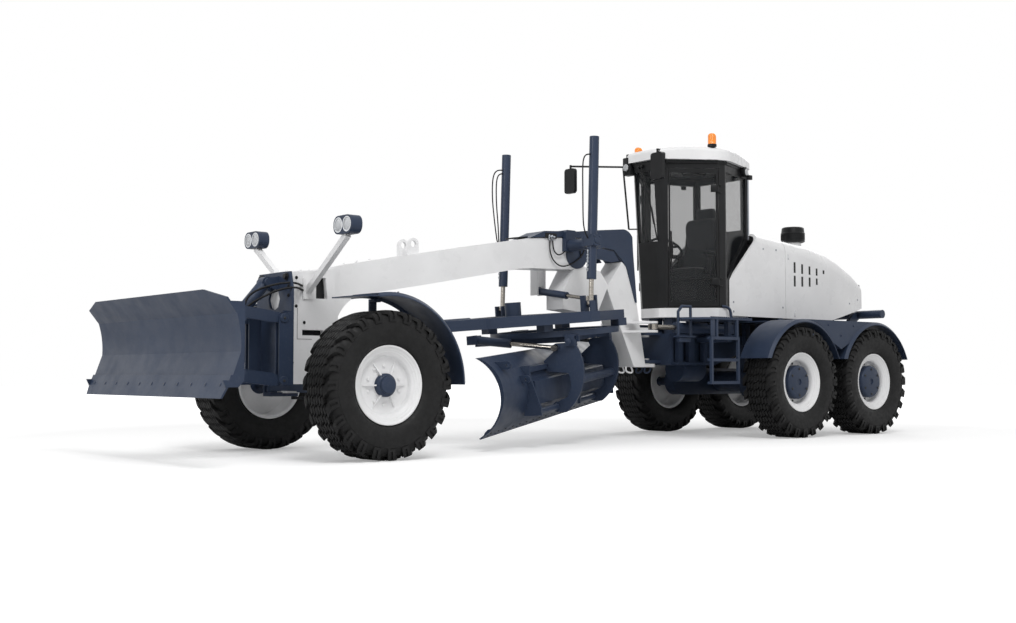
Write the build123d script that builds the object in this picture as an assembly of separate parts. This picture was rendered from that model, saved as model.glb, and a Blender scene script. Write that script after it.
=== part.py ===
from build123d import *
import math
import os

# Motor grader with a front dozer blade, in millimetres.
# Stations along X are measured forward from the middle of the rear tandem, Y is to the machine's left
# and Z is up from the ground. save() moves each piece so that the origin is under the middle of the length.

# Clearances
PIN_GAP = 0.3
SEAT_GAP = 0.5
RUN_GAP = 6.0

# Wheels: 15.5-25 tyres on 25 inch rims
TYRE_R = 635.0
TYRE_HALF = 206.0
SIDEWALL_HALF = 192.0
CROWN_R = 600.0
TREAD_HALF = 158.0
SHOULDER_R = 596.0
LUG_FOOT_R = 552.0
BEAD_R = 346.0
DISH_R = 425.0
SEAT_R = 317.5
FLANGE_R = 338.0
RIM_HALF = 161.5
FLANGE_T = 12.0
RIM_WALL = 14.5
LUG_COUNT = 24
BEAD_SIDES = 10
LUG_WIDTH = 78.0
HUB_BORE_R = 50.0
HUB_BOSS_R = 110.0
AXLE_Z = TYRE_R
WHEELBASE = 6399.0
TANDEM_HALF = 716.5
TRACK_HALF = 1017.0

# Rear frame and drive
FRAME_HALF = 250.0
FRAME_TOP = 1190.0
FRAME_LOW = 830.0
TANDEM_IN = 640.0
TANDEM_OUT = 790.0
TANDEM_R = 165.0
BUMPER_X = -1816.0
BUMPER_Z = 1515.0
BUMPER_R = 55.0
BUMPER_HALF = 600.0

# Articulation between rear and front frame
HITCH_X = 2065.0
HITCH_PIN_R = 50.0
LUG_T = 38.0
UPPER_LUG_Z = 1214.0
LOWER_LUG_Z = 806.0
LUG_R = 115.0
ART_ROOT = (1100.0, 420.0, 1250.0)
ART_EYE = (2320.0, 370.0, 1250.0)
ART_BARREL_R = 62.0
ART_BARREL = 880.0
ART_ROD_R = 28.0

# Front frame
BEAM_HALF = 131.0
NOSE_HALF = 150.0
NOSE_FACE_X = WHEELBASE + 421.0
NOSE_BACK_X = NOSE_FACE_X - 565.0
PLATE_T = 22.0
PLATE_HALF = 313.0
PLATE_LOW = 639.0
PLATE_TOP = 1632.0
LUG_HOLE_R = 32.0
LIFTING_LUG_X = 5385.0
LIFTING_LUG_Y = 84.0
LIFTING_LUG_T = 30.0
LAMP_X = WHEELBASE + 186.0
LAMP_Y = 806.0
LAMP_Z = 1990.0

# Front axle and steering
KINGPIN_Y = 780.0
KINGPIN_R = 30.0
EYE_R = 70.0
EYE_LOW = 560.0
EYE_TOP = 710.0
STEER_ARM = 200.0
FENDER_R = 785.0
FENDER_T = 10.0
FENDER_IN = 790.0
FENDER_OUT = 1232.0
FENDER_BEVEL = 26.0

# Drawbar, circle and blade. The drawbar rises rearward from the ball.
BALL_X = WHEELBASE - 279.0
BALL_Z = 1100.0
BALL_R = 60.0
DRAWBAR_PITCH = 5.0
TUBE_R = 65.0
CIRCLE_X = 3475.0
CIRCLE_OUT = 690.0
CIRCLE_IN = 600.0
CIRCLE_TOP = -130.0
CIRCLE_LOW = -190.0
CIRCLE_YAW = -62.0
LIFT_BALL = (3598.0, 706.0, 1445.0)
LIFT_TRUNNION = (3576.0, 706.0, 2095.0)
LIFT_R = 50.0
LIFT_ROD_R = 25.0
LIFT_UP = 1080.0
LIFT_DOWN = 397.0
SHIFT_ROOT = (3533.0, -200.0, 1626.0)
SHIFT_EYE = (3533.0, 620.0, 1500.0)
BLADE_LEN = 3740.0
BLADE_T = 18.0
BLADE_OFFSET = 92.0
BLADE_SHIFT = 3.0
ARM_Y = 600.0
ARM_T = 40.0
TILT_PIN = (-387.0, -238.0)
PITCH_EYE = (-240.0, -297.0)
PITCH_ROOT = (630.0, -175.0)
PITCH_Y = 690.0
PITCH_BARREL = 400.0
PITCH_ROD = 640.0
RAIL_TOP = (-95.0, -480.0)
RAIL_LOW = (-198.0, -898.0)
RAIL_LOW_R = 32.0
RAIL_HALF = 1200.0
EDGE_TIP = (143.0, -1062.0)
CASING_HALF = 1120.0
CASING_BACK = -165.0
STIFFENER_W = 80.0
# X, Z, distance from the middle of the blade
BLADE_LUGS = [
    (-30.0, -400.0, 1650.0),
    (-90.0, -560.0, 1330.0),
]

# Front dozer blade
DOZER_HALF = 1350.0
DOZER_PIN_X = NOSE_FACE_X + 95.0
DOZER_LOW_Z = 671.0
DOZER_HIGH_Z = 1216.0
DOZER_LINK = 850.0
DOZER_ANGLE = 7.0
DOZER_ROOT = (NOSE_FACE_X + 115.0, 1540.0)
DOZER_EYE_AT = 700.0
DOZER_PIN_R = 26.0
LINK_IN = 256.0
LINK_OUT = 290.0
DOZER_TIP_X = NOSE_FACE_X + 1230.0
DOZER_T = 18.0
DOZER_CORNER = 1065.0
DOZER_DROP = 67.0
UPPER_LINK_H = 100.0
LOWER_LINK_H = 112.0

# Cab
CAB_FLOOR = 1481.0
CAB_TOP = 3140.0
CAB_WALL = 45.0
SILL_LOW = 1375.0
GLASS_T = 8.0
DOOR_GAP = 6.0
DOOR_PIN_R = 8.0
DOOR_PIN_OUT = 18.0
BEACON_X = 1546.0
BEACON_Y = 581.0
BEACON_Z = 3346.0
CAP_PLAN = [(2115, 240), (1500, 655), (1330, 665), (640, 425)]
CAP_LOW = 3176.0
CAP_TOP = 3385.0
CAP_MID_X = 1380.0
DOME_R = 2900.0
BAND_IN = 45.0

# Mirrors: X, Y and Z of the middle of each glass
MIRROR = (2575.0, 690.0, 2980.0)
MIRROR_W = 170.0
MIRROR_H = 290.0

# Hood
HOOD_FRONT_X = 1352.0
HOOD_SEAM_X = 175.0
HOOD_GAP = 8.0
HOOD_SKIN = 25.0
HOOD_REST_Z = 1400.0
HOOD_HINGE = (171.0, 2362.0)

# Rear fenders and access
REAR_FENDER_R = 720.0
REAR_FENDER_T = 10.0
REAR_FENDER_IN = 800.0
REAR_FENDER_OUT = 1240.0
DECK_Z = 1345.0
LADDER_Y = 1000.0
HOOP_Y = 715.0
HOOP_R = 16.0
HOOP_BACK = 2090.0
HOOP_FRONT = 2290.0
HOOP_TOP = 1485.0

REAR_END = BUMPER_X - BUMPER_R
ORIGIN_X = (DOZER_TIP_X + REAR_END) / 2

SIDE = Plane(origin=(0, 0, 0), x_dir=(1, 0, 0), z_dir=(0, -1, 0))
TOP = Plane.XY


def box(x0, x1, y0, y1, z0, z1):
    return Pos((x0 + x1) / 2, (y0 + y1) / 2, (z0 + z1) / 2) * Box(x1 - x0, y1 - y0, z1 - z0)


def face_of(plane, start, *steps):
    """Face from a start point and steps: an end point for a line, a (middle, end) pair for an arc."""
    edges = []
    here = start
    for step in steps:
        if isinstance(step[0], tuple):
            edges.append(ThreePointArc(here, step[0], step[1]))
            here = step[1]
        else:
            edges.append(Line(here, step))
            here = step
    if here != start:
        edges.append(Line(here, start))
    return plane * make_face(edges)


def side_plate(y0, y1, start, *steps):
    """Plate with its outline in X and Z, from y0 to y1."""
    return Pos(0, y0, 0) * extrude(face_of(SIDE, start, *steps), amount=y1 - y0, dir=(0, 1, 0))


def slab(z0, z1, start, *steps):
    """Plate with its outline in X and Y, from z0 to z1."""
    return Pos(0, 0, z0) * extrude(face_of(TOP, start, *steps), amount=z1 - z0, dir=(0, 0, 1))


def bar(start, end, radius):
    """Round bar between two points."""
    axis = Vector(*end) - Vector(*start)
    return Solid.make_cylinder(radius, axis.length, Plane(origin=Vector(*start), z_dir=axis))


def square_bar(start, end, size):
    axis = Vector(*end) - Vector(*start)
    plane = Plane(origin=Vector(*start), x_dir=(1, 0, 0), z_dir=axis)
    return extrude(plane * Rectangle(size, size), amount=axis.length)


def cross_bar(x, z, y0, y1, radius):
    return bar((x, y0, z), (x, y1, z), radius)


def upright(x, y, z0, z1, radius):
    return bar((x, y, z0), (x, y, z1), radius)


def mirrored(shape):
    return mirror(shape, Plane.XZ)


def both(shape):
    return [shape, mirrored(shape)]


def fuse(*pieces):
    whole = pieces[0]
    for piece in pieces[1:]:
        whole = whole + piece
    return whole


def save(name, *shapes):
    moved = [Pos(-ORIGIN_X, 0, 0) * shape for shape in shapes]
    solids = [solid for shape in moved for solid in shape.solids()]
    print(name, len(solids))
    export_step(Compound(children=solids), f"parts/{name}.step")


# Wheels


def sided_ring(radius, count, y):
    """Many sided outline about the Y axis, its flats at the radius and the first flat facing down."""
    plane = Plane(origin=(0, y, 0), x_dir=(0, 0, -1), z_dir=(0, 1, 0))
    return plane * RegularPolygon(radius, count, major_radius=False, rotation=180 / count)


def tyre():
    """Tyre about the Y axis: one flat for each lug, with a lug over the tread and both shoulders on it."""
    bead_half = RIM_HALF - FLANGE_T
    body = extrude(sided_ring(CROWN_R, LUG_COUNT, -SIDEWALL_HALF), amount=2 * SIDEWALL_HALF)
    # profile of a lug: distance from the axis, distance from the middle plane
    half = [(TYRE_R, TREAD_HALF), (SHOULDER_R, TYRE_HALF), (LUG_FOOT_R, SIDEWALL_HALF)]
    section = half + [(r, -y) for r, y in reversed(half)]
    across = Plane(origin=(0, 0, 0), x_dir=(0, 0, -1), z_dir=(-1, 0, 0))
    lug = extrude(across * make_face(Polyline(*section, close=True)), amount=LUG_WIDTH / 2, both=True)
    body = body + [Rot(0, 360.0 / LUG_COUNT * i, 0) * lug for i in range(LUG_COUNT)]
    dish = loft([sided_ring(BEAD_R, BEAD_SIDES, bead_half), sided_ring(DISH_R, BEAD_SIDES, SIDEWALL_HALF)], ruled=True)
    bore = extrude(sided_ring(SEAT_R + PIN_GAP, BEAD_SIDES, -TYRE_HALF), amount=2 * TYRE_HALF)
    return body - dish - mirrored(dish) - bore


def rim(dish, hub):
    """Rim about the Y axis from its outer flange to the inner one, with disc, hub and spindle bore."""
    disc = dish[-1][1]
    ring = [(0, hub[-1][1])]
    ring += [(r, y) for r, y in reversed(hub)]
    ring += [(r, y) for r, y in reversed(dish)]
    ring += [(FLANGE_R - 16, RIM_HALF), (FLANGE_R, RIM_HALF), (FLANGE_R, RIM_HALF - FLANGE_T)]
    ring += [(SEAT_R, RIM_HALF - FLANGE_T), (SEAT_R, FLANGE_T - RIM_HALF), (FLANGE_R, FLANGE_T - RIM_HALF)]
    ring += [(FLANGE_R, -RIM_HALF), (FLANGE_R - 16, -RIM_HALF), (SEAT_R - RIM_WALL, 18 - RIM_HALF)]
    ring += [(SEAT_R - RIM_WALL, disc - 36), (270, disc - 16), (HUB_BOSS_R, disc - 16), (HUB_BOSS_R, disc - 90)]
    ring += [(HUB_BORE_R + PIN_GAP, disc - 90), (HUB_BORE_R + PIN_GAP, disc - 18), (0, disc - 18)]
    return revolve(make_face(Polyline(*ring, close=True)), Axis.Y)


# radius, distance outward from the middle plane: dish from the flange inward, hub from the disc outward
FRONT_DISH = [(312, 140), (270, 124), (244, 100), (240, 78)]
FRONT_HUB = [(100, 78), (100, 128), (72, 128), (72, 158)]
REAR_DISH = [(312, 140), (270, 124), (244, 100), (238, 20)]
REAR_HUB = [(192, 20), (192, 112), (182, 122)]
SPINDLE_FRONT = FRONT_DISH[-1][1] - 18 - PIN_GAP
SPINDLE_REAR = REAR_DISH[-1][1] - 18 - PIN_GAP


def wheels():
    rubber = tyre()
    # name, X, rim
    stations = [
        ("front", WHEELBASE, rim(FRONT_DISH, FRONT_HUB)),
        ("mid", TANDEM_HALF, rim(REAR_DISH, REAR_HUB)),
        ("rear", -TANDEM_HALF, rim(REAR_DISH, REAR_HUB)),
    ]
    for name, x, wheel_rim in stations:
        place = Pos(x, TRACK_HALF, AXLE_Z)
        for side, flip in (("left", False), ("right", True)):
            for piece, shape in (("tyre", rubber), ("rim", wheel_rim)):
                put = place * shape
                save(f"{piece}_{name}_{side}", mirrored(put) if flip else put)


# Rear frame, axle, engine


def hitch_ear(z0, z1, front, back):
    """Round ended hitch plate about the pivot, reaching to the X station back or front."""
    far = back if back is not None else front
    edge = min(far, HITCH_X)
    end = max(far, HITCH_X)
    plate = box(edge, end, -LUG_R, LUG_R, z0, z1)
    return plate + upright(HITCH_X, 0, z0, z1, LUG_R)


def rear_frame():
    nose = HITCH_X - LUG_R - 30
    girder = side_plate(-FRAME_HALF, FRAME_HALF, (-1500, 1000), (600, 1000), (1150, FRAME_LOW),
                        (nose, FRAME_LOW), (nose, FRAME_TOP), (-1500, FRAME_TOP))
    side_cut = side_plate(FRAME_HALF - 40, FRAME_HALF + 5, (1260, FRAME_LOW + 50), (nose - 60, FRAME_LOW + 50),
                          (nose - 60, FRAME_TOP - 50), (1260, FRAME_TOP - 50))
    girder = girder - side_cut - mirrored(side_cut)
    ear_top = UPPER_LUG_Z - RUN_GAP
    ear_low = LOWER_LUG_Z + LUG_T + RUN_GAP
    ears = [hitch_ear(ear_top - LUG_T, ear_top, None, nose - 20), hitch_ear(ear_low, ear_low + LUG_T, None, nose - 20)]
    holes = upright(HITCH_X, 0, ear_low - 10, ear_top + 10, HITCH_PIN_R + PIN_GAP)
    # brackets for the articulation cylinders
    root_x, root_y, root_z = ART_ROOT
    ear = box(root_x - 110, root_x + 60, FRAME_HALF - 10, root_y + 70, root_z - 85, root_z - 70)
    cap = box(root_x - 110, root_x + 60, FRAME_HALF - 10, root_y + 70, root_z + 70, root_z + 85)
    back = box(root_x - 110, root_x - 80, FRAME_HALF - 10, root_y + 70, FRAME_TOP - 60, root_z + 85)
    web = box(root_x - 110, root_x + 60, FRAME_HALF - 40, FRAME_HALF + 20, FRAME_TOP - 60, root_z + 85)
    pin = upright(root_x, root_y, root_z - 80, root_z + 80, 25)
    # cab mounts and bumper arms
    mounts = [box(x0, x1, y0, y1, FRAME_TOP, SILL_LOW) for x0, x1, y0, y1 in
              ((1400, 1500, 120, 240), (1700, 1800, 60, 180), (760, 860, 120, 240))]
    hood_post = box(250, 330, 200, 560, HOOD_REST_Z - 30, HOOD_REST_Z)
    hood_leg = box(250, 330, 200, 240, FRAME_TOP - 10, HOOD_REST_Z)
    rest_post = box(-350, -280, 280, 545, HOOD_REST_Z - 30, HOOD_REST_Z - 0.5)
    rest_leg = box(-350, -280, 265, 300, FRAME_TOP - 40, HOOD_REST_Z - 0.5)
    rest_foot = box(-350, -280, 200, 300, FRAME_TOP - 60, FRAME_TOP - 20)
    arm = side_plate(190, 240, (-1300, FRAME_TOP - 20), (-1500, FRAME_TOP - 20), (-1560, 1300), (BUMPER_X - 20, 1470),
                     (BUMPER_X - 20, 1560), (-1700, 1540), (-1480, 1320), (-1300, 1290))
    pump = bar((1180, 0, FRAME_LOW - 40), (1560, 0, FRAME_LOW - 40), 150)
    columns = [box(x, x + w, FRAME_HALF - 5, FRAME_HALF + 55, 860, 1150) for x, w in ((1330, 70), (1560, 90), (1760, 70))]
    ledge = box(1280, 1880, FRAME_HALF - 5, FRAME_HALF + 90, 836, 860)
    pieces = [girder, pump, *ears]
    for part in (ear, cap, back, web, pin, *mounts, *columns, ledge, arm, hood_post, hood_leg, rest_post, rest_leg, rest_foot):
        pieces += both(part)
    pieces.append(cross_bar(BUMPER_X, BUMPER_Z, -BUMPER_HALF, BUMPER_HALF, BUMPER_R))
    return fuse(*pieces) - holes


def rear_axle():
    """Axle housing, tandem cases and wheel spindles."""
    tube = cross_bar(0, AXLE_Z, -TANDEM_IN, TANDEM_IN, 130)
    ball = Pos(0, 0, AXLE_Z) * (Rot(90, 0, 0) * Cylinder(220, 320))
    saddles = [box(-120, 120, y - 60, y + 60, AXLE_Z, 1000) for y in (-190, 190)]
    case = side_plate(TANDEM_IN, TANDEM_OUT, (-TANDEM_HALF, AXLE_Z + TANDEM_R),
                      ((-TANDEM_HALF - TANDEM_R, AXLE_Z), (-TANDEM_HALF, AXLE_Z - TANDEM_R)),
                      (TANDEM_HALF, AXLE_Z - TANDEM_R),
                      ((TANDEM_HALF + TANDEM_R, AXLE_Z), (TANDEM_HALF, AXLE_Z + TANDEM_R)))
    spindles = [cross_bar(x, AXLE_Z, TANDEM_OUT - 20, TRACK_HALF + SPINDLE_REAR, HUB_BORE_R)
                for x in (-TANDEM_HALF, TANDEM_HALF)]
    sides = []
    for part in (case, *spindles):
        sides += both(part)
    return fuse(tube, ball, *saddles, *sides)


def engine_block():
    return box(-1250, 100, -240, 240, FRAME_TOP, 1950)


# Cab plan: X, half width at the sill and at the roof line
CAB_PLAN = [
    ("front panel", 1964, 130, 2068, 150),
    ("front pillar", 1910, 205, 2027, 202),
    ("door pillar front", 1480, 600, 1480, 600),
    ("door pillar rear", 1363, 612, 1363, 612),
    ("rear corner", 700, 400, 700, 400),
]


def cab_ring(column, inset, z):
    """Closed cab outline at a height, moved inward by inset."""
    points = [(row[column], row[column + 1]) for row in CAB_PLAN]
    ring = points + [(x, -y) for x, y in reversed(points)]
    face = make_face(Polyline(*ring, close=True))
    if inset:
        face = offset(face, amount=-inset, kind=Kind.INTERSECTION).face()
    return Pos(0, 0, z) * face


def cab_solid(inset, low, high):
    """Cab volume between two heights; the front leans forward between the floor and the roof line."""
    full = loft([cab_ring(1, inset, CAB_FLOOR), cab_ring(3, inset, CAB_TOP)], ruled=True)
    return full & box(0, 2600, -900, 900, low, high)


def wall_window(start, end, low, high, margin=0.0, depth=130.0):
    """Upright volume over a plan line, low and high being heights; low may differ at the two ends."""
    low0, low1 = low if isinstance(low, tuple) else (low, low)
    along = Vector(end[0] - start[0], end[1] - start[1], 0)
    plane = Plane(origin=(start[0], start[1], 0), x_dir=along, z_dir=along.cross(Vector(0, 0, 1)))
    far = along.length + margin
    face = make_face(Polyline((-margin, low0 - margin), (far, low1 - margin), (far, high + margin),
                              (-margin, high + margin), close=True))
    return extrude(plane * face, amount=depth + margin, both=True)


# window name, plan start, plan end, sill height at each end, head height
REAR_SIDE_WINDOW = ((1340, 606), (745, 417), (1800, 2330), 3060)
FRONT_WINDOW_LOW = 2245.0
FRONT_WINDOW_TOP = 3060.0


def door_cut(margin):
    """Volume of the left door between its pillars."""
    return wall_window((1474, 606), (1893, 217), CAB_FLOOR + 16, CAB_TOP - 60, margin)


def cab_shell():
    return cab_solid(0, CAB_FLOOR, CAB_TOP) - cab_solid(CAB_WALL, CAB_FLOOR + 30, CAB_TOP + 5)


def cab_frame():
    shell = cab_shell()
    front = box(1800, 2300, -150, 150, FRONT_WINDOW_LOW, FRONT_WINDOW_TOP)
    rear = box(600, 800, -330, 330, 2450, 3060)
    side = wall_window(*REAR_SIDE_WINDOW)
    shell = shell - front - rear
    for cut in (side, door_cut(DOOR_GAP)):
        shell = shell - cut - mirrored(cut)
    ring = CAP_PLAN + [(x, -y) for x, y in reversed(CAP_PLAN)]
    band = offset(make_face(Polyline(*ring, close=True)), amount=-BAND_IN, kind=Kind.INTERSECTION).face()
    band = Pos(0, 0, CAB_TOP) * extrude(band, amount=CAP_LOW - CAB_TOP, dir=(0, 0, 1))
    x, y, z = MIRROR
    arm_z = CAP_LOW - 22
    mirror_arm = fuse(bar((1960, 250, arm_z), (x, y, arm_z), 11), upright(x, y, z + MIRROR_H / 2 - 20, arm_z + 14, 13))
    housing = Pos(x, y, z) * Box(44, MIRROR_W, MIRROR_H)
    housing = fillet(housing.edges().filter_by(Axis.X), 35)
    housing = housing - box(x - 23, x - 17, y - MIRROR_W / 2 + 8, y + MIRROR_W / 2 - 8, z - MIRROR_H / 2 + 8, z + MIRROR_H / 2 - 8)
    return fuse(shell, band, *both(door_brackets()), *both(mirror_arm), *both(housing))


def cab_panes():
    skin = cab_solid(18, CAB_FLOOR, CAB_TOP) - cab_solid(18 + GLASS_T, CAB_FLOOR - 5, CAB_TOP + 5)
    front = skin & box(1800, 2300, -150, 150, FRONT_WINDOW_LOW, FRONT_WINDOW_TOP)
    rear = skin & box(600, 800, -330, 330, 2450, 3060)
    side = skin & wall_window(*REAR_SIDE_WINDOW)
    return [front, rear, side, mirrored(side)]


def door_leaf():
    """Left door: frame as thick as the cab wall with its window cut."""
    leaf = cab_shell() & door_cut(0) & box(1400, 2300, 5, 900, CAB_FLOOR, CAB_TOP)
    leaf = leaf - cab_solid(CAB_WALL, CAB_FLOOR, CAB_TOP) + door_sleeves()
    window = wall_window((1494, 587.5), (1879, 230), CAB_FLOOR + 70, CAB_TOP - 110)
    skin = cab_solid(18, CAB_FLOOR, CAB_TOP) - cab_solid(18 + GLASS_T, CAB_FLOOR - 5, CAB_TOP + 5)
    pane = skin & window & box(1400, 2300, 5, 900, CAB_FLOOR, CAB_TOP)
    return leaf - window, pane


def cab_roof():
    """White domed cap with soft corners."""
    ring = CAP_PLAN + [(x, -y) for x, y in reversed(CAP_PLAN)]
    body = Pos(0, 0, CAP_LOW) * extrude(make_face(Polyline(*ring, close=True)), amount=300)
    tall = body.edges().filter_by(Axis.Z)
    body = fillet(tall.sort_by(Axis.X)[-2:], 140)
    tall = body.edges().filter_by(Axis.Z).sort_by(Axis.X)
    body = fillet([e for e in tall if 1200 < e.center().X < 1700], 260)
    tall = body.edges().filter_by(Axis.Z).sort_by(Axis.X)
    body = fillet(tall[:2], 150)
    dome = Pos(CAP_MID_X, 0, CAP_TOP - DOME_R) * Sphere(DOME_R)
    body = body & dome
    body = fillet(body.faces().sort_by(Axis.Z)[-1].edges(), 45)
    return fuse(body, *both(upright(BEACON_X, BEACON_Y, CAP_LOW + 40, BEACON_Z, 22)))


def cab_sill():
    """White base band under the cab, flush with the hood sides at the back."""
    points = [(row[1], row[2]) for row in CAB_PLAN]
    ring = points + [(x, -y) for x, y in reversed(points)]
    return Pos(0, 0, SILL_LOW) * extrude(make_face(Polyline(*ring, close=True)), amount=CAB_FLOOR - SILL_LOW)


def cab_interior():
    """Seat and steering console on the cab floor."""
    floor = CAB_FLOOR + 30
    base = box(1060, 1400, -200, 200, floor, floor + 330)
    cushion = box(1020, 1480, -250, 250, floor + 330, floor + 450)
    back = side_plate(-240, 240, (1020, floor + 450), (1130, floor + 450), (1060, floor + 1050), (960, floor + 1050))
    seat = fuse(base, cushion, back)
    column = side_plate(-70, 70, (1740, floor), (1860, floor), (1790, floor + 640), (1700, floor + 640))
    wheel_plane = Plane(origin=(1700, 0, floor + 690), x_dir=(0, 1, 0), z_dir=(-0.55, 0, 1))
    grip = Pos(190, 0) * Rot(0, 0, 45) * Rectangle(26, 26)
    ring = wheel_plane * revolve(Plane.XZ * grip, Axis.Z)
    spoke = wheel_plane * Box(370, 30, 14)
    post = bar((1755, 0, floor + 600), (1700, 0, floor + 690), 28)
    console = fuse(column, post, spoke, ring)
    return [seat, console]


def beacons():
    dome = upright(BEACON_X, BEACON_Y, BEACON_Z, BEACON_Z + 138, 48)
    dome = fillet(dome.faces().sort_by(Axis.Z)[-1].edges(), 35)
    return both(dome)


DOOR_HINGE_Z = (1780.0, 2850.0)
DOOR_DIR = Vector(1893 - 1474, 217 - 606, 0).normalized()
DOOR_OUT = Vector(-DOOR_DIR.Y, DOOR_DIR.X, 0)
DOOR_AXIS = Vector(1480, 600, 0) + DOOR_OUT * DOOR_PIN_OUT


def door_point(along, out):
    """Plan point measured from the left door's hinge axis."""
    point = DOOR_AXIS + DOOR_DIR * along + DOOR_OUT * out
    return (point.X, point.Y)


def door_sleeves():
    """Hinge sleeves of the left door."""
    x, y = door_point(0, 0)
    pieces = []
    for z in DOOR_HINGE_Z:
        tab = slab(z - 30, z + 30, door_point(0, 12), door_point(60, 12), door_point(60, -22), door_point(6, -22),
                   door_point(0, -12))
        pieces.append(tab + upright(x, y, z - 30, z + 30, 12))
    return fuse(*pieces) - upright(x, y, 1500, 3100, DOOR_PIN_R + PIN_GAP)


def door_brackets():
    """Plates and pins on the pillar that carry the left door."""
    x, y = door_point(0, 0)
    pieces = []
    for z in DOOR_HINGE_Z:
        for low in (z - 46, z + 36):
            pieces.append(slab(low, low + 10, (1420, 590), (1420, 622), (x - 6, y + 13), (x + 11, y + 4), (x + 11, y - 2),
                               (1466, 606), (1458, 590)))
        pieces.append(upright(x, y, z - 46, z + 46, DOOR_PIN_R))
    return fuse(*pieces)


# Hood stations: X, half width, low Z, top Z, shoulder radius
HOOD_STATIONS = [
    (1400, 596, 1400, 2500, 90),
    (640, 562, 1400, 2392, 130),
    (-400, 530, 1400, 2325, 180),
    (-800, 506, 1400, 2268, 210),
    (-1100, 478, 1463, 2190, 220),
    (-1450, 420, 1537, 2065, 190),
    (-1720, 345, 1594, 1950, 150),
]
LOUVRE_W = 42.0
# X, low Z, high Z
LOUVRES = [
    (-21, 1964, 2096),
    (-178, 1961, 2080),
    (-335, 1958, 2063),
    (-492, 1955, 2046),
    (-649, 1985, 2032),
    (-21, 1797, 1930),
    (-178, 1803, 1927),
    (-335, 1809, 1924),
    (-492, 1840, 1921),
]


def hood_section(x, half, low, high, shoulder, inset):
    plane = Plane(origin=(x, 0, 0), x_dir=(0, 1, 0), z_dir=(1, 0, 0))
    h = half - inset
    r = shoulder - inset * 0.5
    top = high - inset
    s = r * (1 - math.sqrt(0.5))
    return face_of(plane, (-h, low), (h, low), (h, top - r), ((h - s, top - s), (h - r, top)), (r - h, top),
                   ((s - h, top - s), (-h, top - r)))


def hood_solid(inset):
    return loft([hood_section(*row, inset) for row in HOOD_STATIONS], ruled=True)


def hoods():
    outer = hood_solid(0)
    shell = outer - hood_solid(HOOD_SKIN)
    diagonal = side_plate(-900, 900, (1500, 1640), (1352, 1735), (745, 2330), (690, 2400), (690, 3000), (1500, 3000))
    room = cab_solid(-RUN_GAP, CAB_FLOOR, CAB_TOP) + extrude(cab_ring(1, -RUN_GAP, SILL_LOW - 10), amount=150)
    front = shell & box(HOOD_SEAM_X, HOOD_FRONT_X, -900, 900, HOOD_REST_Z, 3000)
    front = front - diagonal - room
    rear = shell & box(-1800, HOOD_SEAM_X - HOOD_GAP, -900, 900, 1300, 3000)
    for x, low, high in LOUVRES:
        rear = rear - box(x - LOUVRE_W / 2, x + LOUVRE_W / 2, -900, 900, low, high)
    neck = upright(-717, 0, 2200, 2424, 105)
    rear = rear + (neck - hood_solid(2))
    x, z = HOOD_HINGE
    for y in (-330, 330):
        front = front - box(x - 10, x + 28, y - 42, y + 42, z - 40, z + 40)
        lugs = [box(x, HOOD_SEAM_X + 60, y + a, y + b, z - 22, z + 8) for a, b in ((-65, -45), (45, 65))]
        front = fuse(front, cross_bar(x, z, y - 70, y + 70, 9), *lugs)
        tab = cross_bar(x, z, y - 38, y + 38, 18) + box(x - 60, x, y - 38, y + 38, z - 22, z - 4)
        rear = rear - box(x - 24, x + 5, y - 75, y + 75, z - 40, z + 40)
        rear = fuse(rear, tab - cross_bar(x, z, y - 60, y + 60, 9 + PIN_GAP))
    return front, rear


def precleaner():
    cap = upright(-717, 0, 2424, 2627, 150)
    return fillet(cap.faces().sort_by(Axis.Z)[-1].edges(), 30)


def rear_fenders():
    """Double arch fender over one pair of wheels, joined by a flat web."""
    def arch(x, start, end):
        shell = arch_shell(x, REAR_FENDER_R, REAR_FENDER_T, REAR_FENDER_IN, REAR_FENDER_OUT, FENDER_BEVEL)
        return shell & box(start, end, 0, 2000, 905, 1400)

    front = arch(TANDEM_HALF, 20, 1500)
    rear = arch(-TANDEM_HALF, -1500, -20)
    top = AXLE_Z + REAR_FENDER_R
    web = side_plate(REAR_FENDER_IN, REAR_FENDER_OUT - FENDER_BEVEL, (-TANDEM_HALF, top), (TANDEM_HALF, top), (0, 1020))
    web = web - [Pos(x, 0, AXLE_Z) * (Rot(90, 0, 0) * Cylinder(REAR_FENDER_R - 1, 10000)) for x in (TANDEM_HALF, -TANDEM_HALF)]
    inner = side_plate(FRAME_HALF + 8, REAR_FENDER_IN + 2, (-900, top - 10), (900, top - 10), (900, top - 22), (-900, top - 22))
    prop = [box(x - 40, x + 40, FRAME_HALF, FRAME_HALF + 60, FRAME_TOP - 120, top - 15) for x in (-600, 600)]
    notch = box(-355, -275, FRAME_HALF, 305, 1300, 1400)
    return fuse(front, rear, web, inner, *prop) - notch


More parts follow.
